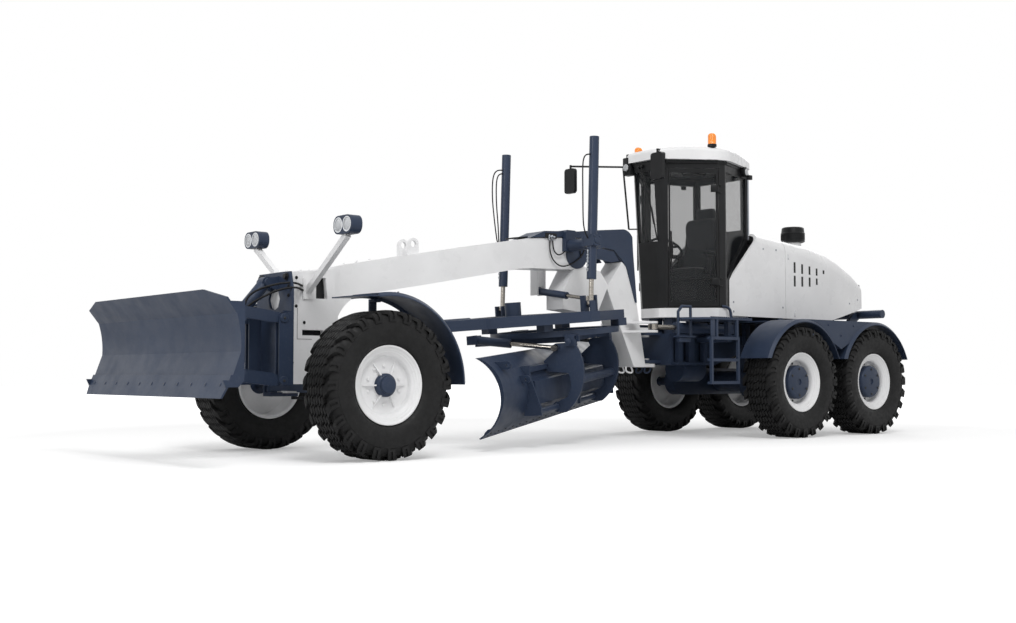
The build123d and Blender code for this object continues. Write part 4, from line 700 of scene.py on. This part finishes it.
def front_rim_mesh():
    bm = bmesh.new()
    lathe(bm, rim_section(FRONT_DISH, FRONT_DISC), 96)
    bolt_circle(bm, STUDS, 0.165, FRONT_DISC, 0.014, 0, 0.5)
    for i in range(RIB_COUNT):
        dish_rib(bm, 2 * math.pi * i / RIB_COUNT)
    turned(bm, Vector((0, 0, 0)), LEFT, FRONT_HUB, 1, 48)
    bolt_circle(bm, HUB_BOLTS, 0.087, 0.119, 0.006, 1)
    return mesh_of("front_rim", bm, RIM_KEYS, RIM_SHARP)


def rear_rim_mesh():
    bm = bmesh.new()
    lathe(bm, rim_section(REAR_DISH, REAR_DISC), 96)
    turned(bm, Vector((0, 0, 0)), LEFT, REAR_DRUM, 1, 64)
    bolt_circle(bm, HUB_BOLTS, 0.150, 0.122, 0.012, 2, 0.5)
    bolt_circle(bm, STUDS + 2, 0.212, REAR_DISC, 0.011, 2)
    return mesh_of("rear_rim", bm, RIM_KEYS, RIM_SHARP)


def make_wheels():
    rubber_mesh = tyre_mesh()
    rims = {"front": front_rim_mesh(), "mid": rear_rim_mesh()}
    rims["rear"] = rims["mid"]
    for name, station in AXLES:
        for side, sign in SIDES:
            for kind, mesh in (("tyre", rubber_mesh), ("rim", rims[name])):
                data = mesh.copy()
                if sign < 0:
                    data.transform(Matrix.Scale(-1, 4, (0, 1, 0)))
                    data.flip_normals()
                data.transform(Matrix.Translation(at(station, sign * TRACK_HALF * 1000, TYRE_R * 1000)))
                piece = bpy.data.objects.new(f"{kind}_{name}_{side}_detail", data)
                bpy.context.scene.collection.objects.link(piece)
                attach(piece, f"wheel_{name}_{side}")
                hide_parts(f"{kind}_{name}_{side}")


# Details, in station millimetres


def block_mm(bm, x0, x1, y0, y1, z0, z1, slot=0, bevel=0.002):
    block(bm, at(x0, y0, z0), at(x1, y1, z1), slot, bevel)


def sides(y):
    return ((1, y), (-1, -y))


# X and Z of the dozer edge's foot and of its lip, and the reach of its row of bolts to each side
DOZER_FOOT = (7948.0, 723.0)
DOZER_LIP = (8020.0, 546.0)
DOZER_BOLTS = 11
DOZER_ROW = 1235.0
PLOUGH_HEAD = [(0.017, -0.002), (0.017, 0.0015), (0.012, 0.004)]
PLOUGH_NUT = [(0.0065, 0.003), (0.0065, 0.0045)]
# X of the link pins in the cheeks of the nose, their heights and the cheeks' half width
CHEEK_X = 6915.0
CHEEK_PINS = (671.0, 1216.0)
CHEEK_HALF = 313.0
PIN_HEAD = [(0.040, -0.002), (0.040, 0.008), (0.036, 0.012), (0.010, 0.013)]


def dozer_details():
    """Bolts of the dozer's cutting edge and the heads of its link pins."""
    bm = bmesh.new()
    foot = at(DOZER_FOOT[0], 0, DOZER_FOOT[1])
    run = at(DOZER_LIP[0], 0, DOZER_LIP[1]) - foot
    out = Vector((-run.z, 0, run.x)).normalized()
    if out.x < 0:
        out = -out
    for i in range(DOZER_BOLTS):
        y = -DOZER_ROW + 2 * DOZER_ROW * i / (DOZER_BOLTS - 1)
        base = at(DOZER_FOOT[0], y, DOZER_FOOT[1]) + run * 0.42
        turned(bm, base, out, PLOUGH_HEAD, 0, 16)
        turned(bm, base, out, PLOUGH_NUT, 1, 6)
    add_piece("dozer_edge_bolts", bm, ("blue", "iron"), "dozer")
    bm = bmesh.new()
    for sign, y in sides(CHEEK_HALF):
        for z in CHEEK_PINS:
            turned(bm, at(CHEEK_X, y, z), LEFT * sign, PIN_HEAD, 0, 28)
            bolt(bm, at(CHEEK_X, y + sign * 12, z), LEFT * sign, 0.010, 1)
    add_piece("cheek_pin_heads", bm, ("blue", "iron"), "front_chassis")


PLATE_FRONT = 6842.0
CAP_Y = 222.0
CAP_Z = 1588.0
CAP_RING = [(0.036, -0.002), (0.036, 0.008), (0.033, 0.010)]
CAP_NUT = [(0.026, 0.006), (0.026, 0.026), (0.022, 0.030)]
# half widths of the nose box and of its side plates
NOSE_HALF = 150.0
PLATE_HALF = 151.0
BEAM_HALF = 99.0
SIDE_BOLTS = [(6703, 1590), (6703, 1335), (6738, 830), (6620, 1190)]
# X and Y of the bolts on top; the top falls forward, less steeply ahead of its bend
TOP_BOLTS = [(6780, 110), (6640, 118), (6420, 112), (6050, 104), (5900, 104)]
TOP_BEND = 6482.0


def nose_top(x):
    """Height of the beam's top near the nose."""
    if x > TOP_BEND:
        return 1640 + (6820 - x) * 0.0888
    return 1670 + (TOP_BEND - x) * 0.222


def nose_details():
    """Bolts of the nose plate, seams of the nose's sides, painted shade in its recesses, bolts on its top."""
    bm = bmesh.new()
    for y in (-CAP_Y, CAP_Y):
        turned(bm, at(PLATE_FRONT, y, CAP_Z), AHEAD, CAP_RING, 0, 28)
        turned(bm, at(PLATE_FRONT, y, CAP_Z), AHEAD, CAP_NUT, 0, 6)
        for z in (1500, 1420):
            bolt(bm, at(PLATE_FRONT, y * 1.16, z), AHEAD, 0.013, 0)
    add_piece("nose_plate_bolts", bm, ("cab_black",), "front_chassis")
    bm = bmesh.new()
    for sign, y in sides(PLATE_HALF):
        for x, z in SIDE_BOLTS:
            bolt(bm, at(x, sign * NOSE_HALF, z), LEFT * sign, 0.011, 0)
        block_mm(bm, 6689, 6693, y - sign * 2, y, 1041, 1318, 0, 0.0)
        block_mm(bm, 6540, 6693, y - sign * 2, y, 1039, 1043, 0, 0.0)
        # dark plates a little proud of the beam's sides: painted shade standing for its recesses
        low, high = sign * BEAM_HALF, sign * (BEAM_HALF + 3)
        block_mm(bm, 6384, 6498, low, high, 1412, 1598, 0, 0.0)
        block_mm(bm, 6422, 6638, low, high, 1077, 1123, 0, 0.0)
    add_piece("nose_side_bolts_seams_and_recess_shade", bm, ("cab_black",), "front_chassis")
    bm = bmesh.new()
    for x, y in TOP_BOLTS:
        for side in (-1, 1):
            bolt(bm, at(x, side * y, nose_top(x)), UP, 0.010, 0)
    add_piece("nose_top_bolts", bm, ("white",), "front_chassis")


LAMP_FACE = (6640.0, 806.0, 2010.0)
LAMP_APART = 68.0
LAMP_BOWL = [(0.012, -0.0245), (0.034, -0.020), (0.055, -0.006), (0.0585, -0.006), (0.0585, 0.001),
             (0.066, 0.001), (0.064, -0.004)]
LAMP_BULB = [(0.011, -0.025), (0.011, -0.010), (0.006, -0.006)]
LAMP_LENS = [(0.0575, -0.004), (0.050, 0.0015), (0.030, 0.005), (0.010, 0.0062)]


def lamp_details():
    """Reflector, lens and bezel of each of the paired lamps."""
    x, y, z = LAMP_FACE
    for side, sign in SIDES:
        glass = bmesh.new()
        bowl = bmesh.new()
        for shift in (-LAMP_APART, LAMP_APART):
            middle = at(x, sign * y + shift, z)
            turned(bowl, middle, AHEAD, LAMP_BOWL, 0, 36)
            turned(bowl, middle, AHEAD, LAMP_BULB, 1, 14)
            turned(glass, middle, AHEAD, LAMP_LENS, 0, 36)
        add_piece(f"lamp_bowls_{side}", bowl, ("mirror", "beacon"), "front_chassis", 40.0)
        add_piece(f"lamp_glasses_{side}", glass, ("lamp_glass",), "front_chassis", 50.0)


# front face of the lift cylinders' clamp plates
CLAMP_FRONT = 3351.0
HATCH_X = 3895.0
HATCH_SLOPE = 0.13
SADDLE_PORT_Z = 2196.0
PORT_STEM = [(0.010, 0), (0.012, 0.004), (0.012, 0.022), (0.009, 0.026), (0.009, 0.060)]
PORT_NUT = [(0.014, 0.026), (0.014, 0.044), (0.011, 0.047)]


def beam_details():
    """Hatch of the saddle, painted shade in its side openings, ports for its hoses, bolts of the clamp plates.
    """
    bm = bmesh.new()
    block_mm(bm, HATCH_X, 4090, -70, 70, 2146, 2160, 0, 0.003)
    for v in bm.verts:
        v.co.z += (at(HATCH_X, 0, 0).x - v.co.x) * HATCH_SLOPE + 0.012
    # dark plates on the saddle's sides: painted shade standing for its openings
    for sign, y in sides(145):
        block_mm(bm, 3560, 3722, y, y + sign * 3, 2160, 2216, 0, 0.0)
    add_piece("saddle_hatch_and_opening_shade", bm, ("cab_black",), "front_chassis")
    bm = bmesh.new()
    for sign, y in sides(148):
        for x in (3664, 3626):
            turned(bm, at(x, y, SADDLE_PORT_Z), DOWN, PORT_STEM, 0, 12)
            turned(bm, at(x, y, SADDLE_PORT_Z), Vector((-0.3, sign, -1.0)), PORT_NUT, 0, 6)
    add_piece("saddle_fittings", bm, ("steel",), "front_chassis")
    bm = bmesh.new()
    for sign in (1, -1):
        for y in (402, 446, 490):
            for z in (2025, 2165):
                bolt(bm, at(CLAMP_FRONT, sign * y, z), AHEAD, 0.012, 0)
    add_piece("trunnion_bolts", bm, ("blue",), "front_chassis")


# X and Z of the drawbar's ball, X of the circle's middle at rest, and the blade's yaw and pitch
BALL_X = 6120.0
BALL_Z = 1100.0
CIRCLE_X = 3475.0
BLADE_YAW = math.radians(-62.0)
BLADE_PITCH = math.radians(5.0)


def blade_at(x, y, z):
    """Frame point of a place in the circle's own axes: X to the concave side of the blade, Y along it."""
    level = math.cos(BLADE_PITCH)
    tilt = math.sin(BLADE_PITCH)
    bx = (CIRCLE_X - BALL_X) / level + x * math.cos(BLADE_YAW) - y * math.sin(BLADE_YAW)
    by = x * math.sin(BLADE_YAW) + y * math.cos(BLADE_YAW)
    return at(BALL_X + bx * level + z * tilt, by, BALL_Z - bx * tilt + z * level)


EDGE_BOLTS = 20
EDGE_ROW = 1780.0
EDGE_HEAD = [(0.014, -0.012), (0.014, 0.001), (0.009, 0.003)]
ARM_PIN = [(0.030, 0), (0.030, 0.006), (0.026, 0.008)]


def blade_details():
    """Nuts behind the cutting edge, plough bolts on its front and the heads of the arms' pins."""
    bm = bmesh.new()
    origin = blade_at(0, 0, 0)
    back = (blade_at(-1, 0, 0) - origin).normalized()
    down = (blade_at(0, 0, -1) - origin).normalized()
    along = (blade_at(0, 1, 0) - origin).normalized()
    for i in range(EDGE_BOLTS):
        y = -EDGE_ROW + 2 * EDGE_ROW * i / (EDGE_BOLTS - 1)
        bolt(bm, blade_at(61, y, -1012), (back + down * 0.25).normalized(), 0.013, 1)
        turned(bm, blade_at(101, y, -1038), (-back - down * 0.1).normalized(), EDGE_HEAD, 0, 12)
    add_piece("blade_edge_bolts", bm, ("blue", "iron"), "blade")
    bm = bmesh.new()
    for y, sign in ((-600, -1), (600, 1)):
        turned(bm, blade_at(-387, y * 46 / 40, -238), along * sign, ARM_PIN, 0, 24)
        turned(bm, blade_at(-240, y * 1.04, -297), along * sign, ARM_PIN, 0, 24)
    add_piece("arm_pin_heads", bm, ("blue",), "turntable")


# top and lower end of each wiper's arm
WIPERS = [((2092, -70, 3120), (2052, 110, 2600)), ((2092, -20, 3120), (2040, 148, 2420))]
WIPER_HUB = [(0.020, -0.01), (0.020, 0.02), (0.014, 0.028)]
ROOF_LAMP_AT = (2110.0, 238.0, 3130.0)
ROOF_LAMP_RIM = [(0.052, -0.004), (0.052, 0.010), (0.047, 0.012)]
ROOF_LAMP_LENS = [(0.046, 0.009), (0.040, 0.013), (0.012, 0.016)]
REAR_LAMP_AT = (850.0, 475.0, 3120.0)
REAR_LAMP_BODY = [(0.058, -0.02), (0.062, 0.0), (0.062, 0.028), (0.050, 0.034)]
REAR_LAMP_LENS = [(0.044, 0.028), (0.040, 0.038), (0.012, 0.042)]
BEACON_AT = (1546.0, 581.0, 3262.0)
BEACON_FOOT = [(0.024, 0), (0.025, 0.05), (0.046, 0.062), (0.052, 0.066), (0.053, 0.088), (0.049, 0.094)]
MIRROR_AT = (2553.0, 690.0, 2980.0)


def cab_details():
    """Wipers, front rail, roof lamps, beacon feet, corner trims and mirror faces."""
    bm = bmesh.new()
    for top, low in WIPERS:
        tube_between(bm, at(*top), at(*low), 0.006, 0, 8)
        turned(bm, at(top[0] - 20, top[1], top[2]), AHEAD, WIPER_HUB, 0, 14)
        blade_top = at(*low) + Vector((0.004, -0.05, 0.22))
        blade_low = at(*low) + Vector((-0.010, 0.02, -0.16))
        tube_between(bm, blade_top, blade_low, 0.008, 0, 6)
    # thin rail ahead of the right front corner, with its brackets
    tube_between(bm, at(2105, -292, 3120), at(2070, -240, 2410), 0.011, 0, 10)
    tube_between(bm, at(2070, -240, 2412), at(1990, -150, 2412), 0.008, 0, 8)
    tube_between(bm, at(2105, -292, 3105), at(2040, -240, 3105), 0.010, 0, 8)
    add_piece("wipers_and_rail", bm, ("cab_black",), "chassis")
    for side, sign in SIDES:
        bm = bmesh.new()
        block_mm(bm, 2010, 2110, sign * 175, sign * 300, 3040, 3250, 0, 0.012)
        block_mm(bm, 2030, 2090, sign * 215, sign * 260, 3250, 3290, 0, 0.006)
        x, y, z = ROOF_LAMP_AT
        turned(bm, at(x, sign * y, z), AHEAD, ROOF_LAMP_RIM, 0, 28)
        turned(bm, at(x, sign * y, z), AHEAD, ROOF_LAMP_LENS, 1, 28)
        block_mm(bm, 770, 830, sign * 500, sign * 540, 3030, 3085, 0, 0.006)
        x, y, z = REAR_LAMP_AT
        outward = Vector((-0.3, sign, 0))
        turned(bm, at(x, sign * y, z), outward, REAR_LAMP_BODY, 0, 24)
        turned(bm, at(x, sign * y, z), outward, REAR_LAMP_LENS, 1, 24)
        add_piece(f"roof_lamps_{side}", bm, ("cab_black", "lamp_glass"), "chassis")
        bm = bmesh.new()
        x, y, z = BEACON_AT
        turned(bm, at(x, sign * y, z), UP, BEACON_FOOT, 0, 28)
        add_piece(f"beacon_base_{side}", bm, ("cab_black",), "chassis")
        bm = bmesh.new()
        tube_between(bm, at(694, sign * 404, 2330), at(694, sign * 404, 3130), 0.013, 0, 12)
        add_piece(f"corner_trim_{side}", bm, ("steel",), "chassis")
        bm = bmesh.new()
        x, y, z = MIRROR_AT
        block_mm(bm, x + 5, x + 8, sign * y - 75, sign * y + 75, z - 135, z + 135, 0, 0.0)
        add_piece(f"mirror_face_{side}", bm, ("mirror",), "chassis")


# level direction of the left door's plane, from its hinge forward, and of its outer face
DOOR_RUN = (419.0, -389.0)
HINGE_AT = (1492.2, 613.2)
HINGES = (1780.0, 2850.0)
LATCH_AT = (1880.0, 245.0, 2140.0)
GRAB_AT = (1560.0, 490.0, 3010.0)
GRAB_LONG = 0.26


def door_details():
    """Hinges, latch, handle and inner grab bar of each door."""
    for side, sign in SIDES:
        bm = bmesh.new()
        along = Vector((DOOR_RUN[0], DOOR_RUN[1] * sign, 0)).normalized()
        out = Vector((-DOOR_RUN[1], DOOR_RUN[0] * sign, 0)).normalized()
        for z in HINGES:
            base = at(HINGE_AT[0], sign * HINGE_AT[1], z)
            block_at(bm, base + along * 0.040 + out * 0.002, along, out, (0.080, 0.020, 0.085), 0)
        base = at(LATCH_AT[0], sign * LATCH_AT[1], LATCH_AT[2]) + out * 0.004
        block_at(bm, base, along, out, (0.045, 0.030, 0.150), 0)
        low = base + UP * -0.2 + out * 0.022
        tube_between(bm, low, base + UP * 0.22 + out * 0.022, 0.009, 0, 10)
        grip = at(GRAB_AT[0], sign * GRAB_AT[1], GRAB_AT[2])
        end = grip + along * GRAB_LONG
        tube_between(bm, grip, end, 0.012, 0, 10)
        tube_between(bm, grip, grip + UP * 0.05, 0.009, 0, 8)
        tube_between(bm, end, end + UP * 0.05, 0.009, 0, 8)
        add_piece(f"door_fittings_{side}", bm, ("cab_black",), f"{side}_door")


# X of the hood's sections and their half widths
HOOD_ROWS = [(1400, 596), (640, 562), (-400, 530), (-800, 506), (-1100, 478), (-1450, 420), (-1720, 345)]
SCREW_HEAD = [(0.012, -0.001), (0.012, 0.003), (0.008, 0.005)]
COWL_SCREWS = [(614, 2216), (358, 2219), (231, 1531), (1200, 1560), (1200, 1450)]
HOOD_SCREWS = [(-1556, 1699), (-1300, 1640)]
# X, Z and height of each latch
HOOD_LATCHES = [(110, 2152, 60), (-15, 1463, 70)]
LOUVRE_DEPTH = 3.0
LOUVRE_HALF = 20.7
# X, low Z, high Z of each slot in the hood's side
LOUVRES = [(-21, 1964, 2096), (-178, 1961, 2080), (-335, 1958, 2063), (-492, 1955, 2046), (-649, 1985, 2032),
           (-21, 1797, 1930), (-178, 1803, 1927), (-335, 1809, 1924), (-492, 1840, 1921)]
GRILLE_HALF = 318
GRILLE_LOW = 1640
GRILLE_HIGH = 1908
GRILLE_BARS = 13
PRECLEANER_AT = (-717.0, 0.0, 2424.0)
PRECLEANER = [(0.106, -0.004), (0.125, 0.0), (0.152, 0.012), (0.1525, 0.030), (0.149, 0.036), (0.149, 0.104),
              (0.154, 0.108), (0.154, 0.124), (0.148, 0.130), (0.141, 0.188), (0.128, 0.199), (0.05, 0.204)]
VANES = 40
VANE_R = 0.150


def hood_half(x):
    """Half width of the hood at a station."""
    for (x0, h0), (x1, h1) in zip(HOOD_ROWS, HOOD_ROWS[1:]):
        if x1 <= x <= x0:
            return h0 + (h1 - h0) * (x0 - x) / (x0 - x1)
    return HOOD_ROWS[-1][1]


def hood_details():
    """Screws and latches of the hood's sides, painted shade inside its louvre slots, tail grille and
    pre-cleaner.
    """
    bm = bmesh.new()
    fixed = bmesh.new()
    for sign in (1, -1):
        for made, spots in ((fixed, COWL_SCREWS), (bm, HOOD_SCREWS)):
            for x, z in spots:
                turned(made, at(x, sign * hood_half(x), z), LEFT * sign, SCREW_HEAD, 0, 14)
        for x, z, tall in HOOD_LATCHES:
            low, high = z - tall / 2, z + tall / 2
            half = hood_half(x)
            block_mm(bm, x - 10, x + 10, sign * (half - 2), sign * (half + 7), low, high, 1, 0.003)
        # dark plates set just inside each louvre slot: painted shade of the slot's depth
        for x, low, high in LOUVRES:
            back, front = x - LOUVRE_HALF, x + LOUVRE_HALF
            half = hood_half(x) - LOUVRE_DEPTH
            block_mm(bm, back, front, sign * half, sign * (half - 4), low + 0.4, high - 0.4, 2, 0.0)
    add_piece("hood_screws_latches_and_slot_shade", bm, ("steel", "white", "cab_black"), "hood")
    add_piece("cowl_screws", fixed, ("steel",), "chassis")
    bm = bmesh.new()
    block_mm(bm, -1716, -1700, -GRILLE_HALF, GRILLE_HALF, GRILLE_LOW, GRILLE_HIGH, 0, 0.0)
    for i in range(GRILLE_BARS):
        z = GRILLE_LOW + 10 + i * 20
        block_mm(bm, -1724, -1704, -GRILLE_HALF, GRILLE_HALF, z, z + 7, 1, 0.001)
    for y in (-200, -70, 70, 200):
        block_mm(bm, -1722, -1702, y - 5, y + 5, GRILLE_LOW, GRILLE_HIGH, 1, 0.001)
    add_piece("tail_grille", bm, ("cab_black", "iron"), "hood")
    bm = bmesh.new()
    base = at(*PRECLEANER_AT)
    turned(bm, base, UP, PRECLEANER, 0, 56)
    for i in range(VANES):
        a = 2 * math.pi * i / VANES
        out = Vector((math.cos(a), math.sin(a), 0))
        block_at(bm, base + out * VANE_R + UP * 0.070, UP.cross(out), out, (0.010, 0.006, 0.062), 0)
    cap = add_piece("precleaner_cap", bm, ("cab_black",), "hood")
    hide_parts("precleaner")


PAD_CUTS = 15
PAD_ROUND = 5
GROOVE_W = 0.045
CAB_FLOOR = 1481.0
# name, middle, size in metres, lean, places of the channels across the pad
PADS = [
    ("seat_cushion", (1255, 0, CAB_FLOOR + 445), (0.47, 0.51, 0.125), 0.0, (-0.5, 0.5)),
    ("seat_back", (1048, 0, CAB_FLOOR + 790), (0.66, 0.49, 0.115), math.radians(-84), (-0.5, 0.5)),
    ("seat_head_pad", (985, 0, CAB_FLOOR + 1140), (0.20, 0.28, 0.095), math.radians(-86), ()),
]


def pad_form(bm, middle, size, lean, grooves):
    """Crowned cushion with rounded edges, sides that pull in between the corners and sewn channels."""
    bmesh.ops.create_cube(bm, size=2.0)
    bmesh.ops.subdivide_edges(bm, edges=list(bm.edges), cuts=PAD_CUTS, use_grid_fill=True)
    turn = Matrix.Rotation(lean, 3, "Y")
    long, wide, tall = (part / 2 for part in size)
    for v in bm.verts:
        x, y, z = v.co
        ball = (abs(x) ** PAD_ROUND + abs(y) ** PAD_ROUND + abs(z) ** PAD_ROUND) ** (1 / PAD_ROUND)
        x, y, z = x / ball, y / ball, z / ball
        pull = 1.0 - 0.05 * (1 - y * y) * abs(x) ** 3
        side = 1.0 - 0.05 * (1 - x * x) * abs(y) ** 3
        crown = 0.74 + 0.26 * (1 - x ** 4) * (1 - y ** 4)
        if z > 0:
            for groove in grooves:
                crown -= 0.16 * math.exp(-((y - groove) / GROOVE_W) ** 2)
        v.co = middle + turn @ Vector((x * pull * long, y * side * wide, z * crown * tall))


def seat_details():
    """Seat pads and arm rests."""
    for name, place, size, lean, grooves in PADS:
        bm = bmesh.new()
        pad_form(bm, at(*place), size, lean, grooves)
        pad = add_piece(name, bm, ("seat",), "chassis", 60.0)
    bm = bmesh.new()
    for sign in (1, -1):
        block_mm(bm, 1080, 1370, sign * 262, sign * 320, CAB_FLOOR + 640, CAB_FLOOR + 690, 0, 0.02)
        block_mm(bm, 1120, 1190, sign * 262, sign * 282, CAB_FLOOR + 420, CAB_FLOOR + 650, 0, 0.004)
        block_mm(bm, 1290, 1370, sign * 285, sign * 335, CAB_FLOOR + 400, CAB_FLOOR + 600, 0, 0.01)
        lever = at(1330, sign * 310, CAB_FLOOR + 600)
        tube_between(bm, lever, at(1345, sign * 300, CAB_FLOOR + 760), 0.010, 0, 10)
    add_piece("arm_rests", bm, ("cab_black",), "chassis")


DECK_TEETH = 22
STEP_TEETH = 12
STEP_LEVELS = (618, 866, 1104)
TOOTH_PITCH = (32, 34)
GRAB_RAIL = [(1425, 606, 1500), (1390, 632, 1500), (1335, 646, 1470), (1316, 646, 1410), (1316, 646, 1340)]
# X and Z along each loop under the joint, whose side distance is TIE_Y
TIE_Y = 66
LEG_TIE = [(2440, 812), (2452, 768), (2400, 742), (2345, 742), (2335, 770), (2365, 812)]
FRAME_TIE = [(2030, 834), (2040, 775), (2080, 742), (2135, 742), (2150, 770), (2120, 834)]


def access_details():
    """Teeth of the deck and the steps, brackets of the deck, grab rail and tie-down loops."""
    bm = bmesh.new()
    for i in range(DECK_TEETH):
        x = 1392 + i * TOOTH_PITCH[0]
        block_mm(bm, x, x + 18, 992, 1002, 1343, 1354, 0, 0.001)
    block_mm(bm, 2005, 2075, 985, 992, 1111, 1335, 0, 0.002)
    block_mm(bm, 2112, 2300, 700, 740, 1078, 1128, 0, 0.003)
    for z in STEP_LEVELS:
        for i in range(STEP_TEETH):
            x = 1636 + i * TOOTH_PITCH[1]
            block_mm(bm, x, x + 16, 944, 996, z + 29, z + 34, 0, 0.001)
    tube_between(bm, at(1640, 985, 1145), at(1640, 985, 1330), 0.011, 0, 10)
    add_piece("deck_and_tread_teeth", bm, ("blue",), "chassis")
    piped("cowl_grab_rail", [at(*spot) for spot in GRAB_RAIL], 0.016, "blue", "chassis")
    for side, sign in SIDES:
        leg = [at(x, sign * TIE_Y, z) for x, z in LEG_TIE]
        piped(f"leg_tie_loop_{side}", leg, 0.010, "white", "front_chassis")
        tie = [at(x, sign * TIE_Y, z) for x, z in FRAME_TIE]
        piped(f"frame_tie_loop_{side}", tie, 0.010, "blue", "chassis")


FENDER_BOLTS = [(250, 1300), (560, 1180), (-250, 1300), (0, 1180)]
FENDER_FACE = 1214
FENDER_SCREW = [(0.010, -0.002), (0.010, 0.003), (0.006, 0.005)]


def fender_details():
    """Bolts of the rear fenders and screws on top of the front ones."""
    bm = bmesh.new()
    for sign in (1, -1):
        for x, z in FENDER_BOLTS:
            bolt(bm, at(x, sign * FENDER_FACE, z), LEFT * sign, 0.011, 0)
    add_piece("rear_fender_bolts", bm, ("blue",), "chassis")
    for side, sign in SIDES:
        bm = bmesh.new()
        for y in (850, 900, 1150, 1200):
            turned(bm, at(6330, sign * y, 1420), Vector((0.08, 0, 1)), FENDER_SCREW, 0, 12)
        add_piece(f"front_fender_screws_{side}", bm, ("blue",), f"steered_hub_{side}")


# name, body, diameter, length, control points in station millimetres
CORDS = [
    ("nose_hose_upper", "front_chassis", 0.019, 0.70,
     [(6640, 146, 1520), (6690, 190, 1523), (6760, 262, 1530), (6850, 282, 1532), (6950, 224, 1515),
      (7050, 158, 1480), (7125, 112, 1435), (7165, 90, 1380), (7180, 84, 1320)]),
    ("nose_hose_lower", "front_chassis", 0.019, 0.80,
     [(6628, 146, 1478), (6680, 195, 1480), (6760, 290, 1488), (6860, 316, 1486), (6960, 262, 1458),
      (7050, 190, 1405), (7125, 118, 1350), (7172, 86, 1295), (7186, 80, 1240)]),
    ("saddle_hose_lower", "front_chassis", 0.014, 0.85,
     [(3664, 156, 2140), (3668, 158, 2080), (3662, 160, 2000), (3620, 160, 1925), (3530, 160, 1870),
      (3420, 160, 1878), (3300, 158, 1930), (3190, 156, 2010), (3150, 150, 2090), (3150, 146, 2150)]),
    ("saddle_hose_upper", "front_chassis", 0.014, 0.66,
     [(3626, 156, 2140), (3622, 158, 2080), (3604, 158, 2020), (3550, 160, 1985), (3480, 160, 2010),
      (3400, 160, 2080), (3320, 158, 2125), (3255, 157, 2110), (3222, 156, 2050), (3208, 150, 1980)]),
    ("lift_hose_left", "lifters", 0.014, 0.95,
     [(3600, 706, 2985), (3655, 706, 2982), (3698, 706, 2930), (3710, 707, 2820), (3708, 708, 2553),
      (3706, 707, 2348), (3698, 706, 2240), (3672, 706, 2160), (3636, 706, 2115)]),
    ("lift_hose_right_front", "lifters", 0.014, 0.98,
     [(3599, -706, 3000), (3668, -706, 2998), (3725, -706, 2945), (3746, -706, 2830), (3742, -707, 2640),
      (3716, -707, 2440), (3690, -706, 2270), (3672, -706, 2180), (3636, -706, 2125)]),
    ("lift_hose_right_rear", "lifters", 0.014, 0.90,
     [(3598, -700, 2960), (3650, -702, 2955), (3684, -704, 2890), (3692, -704, 2770), (3686, -704, 2590),
      (3668, -704, 2430), (3658, -704, 2290), (3654, -704, 2190), (3636, -704, 2105)]),
]


def make_cords():
    for name, body, diameter, length, route in CORDS:
        piece = piped(name, [at(*spot) for spot in route], diameter / 2, "hose", body)


# middle of a lift cylinder's collar, its half size, and how far the barrel moves forward per unit down
COLLAR = (3576, 706, 2095)
COLLAR_HALF = (42, 72, 42)
BARREL_LEAN = 22 / 650
FITTING_OUT = 58
TRUNNION_CAP = [(0.034, -0.001), (0.034, 0.005), (0.031, 0.008), (0.012, 0.009)]
FITTING = [(0.008, 0), (0.013, 0.004), (0.013, 0.020), (0.009, 0.024), (0.009, 0.034)]


def lifter_details():
    """Cap of each trunnion and the row of fittings beside each lift barrel."""
    x, y, z = COLLAR
    wide, out, tall = COLLAR_HALF
    for side, sign in SIDES:
        bm = bmesh.new()
        face = sign * (y + out)
        turned(bm, at(x, face, z), LEFT * sign, TRUNNION_CAP, 0, 24)
        for across in (-wide, wide):
            for up in (-tall, tall):
                bolt(bm, at(x + across, face, z + up), LEFT * sign, 0.009, 0)
        add_piece(f"trunnion_cap_{side}", bm, ("blue",), "lifters")
        bm = bmesh.new()
        for level in (2000, 1960, 1925, 1890, 1850, 1810):
            port = x + (z - level) * BARREL_LEAN + FITTING_OUT
            turned(bm, at(port, sign * y, level), DOWN, FITTING, 0, 8)
        add_piece(f"lift_fittings_{side}", bm, ("steel",), "lifters")


def main():
    make_camera()
    make_cords()
    make_lamps()
    make_world()
    make_floor()
    finish_nodes()
    make_wheels()
    dozer_details()
    nose_details()
    lamp_details()
    beam_details()
    blade_details()
    cab_details()
    door_details()
    hood_details()
    seat_details()
    access_details()
    fender_details()
    lifter_details()


main()
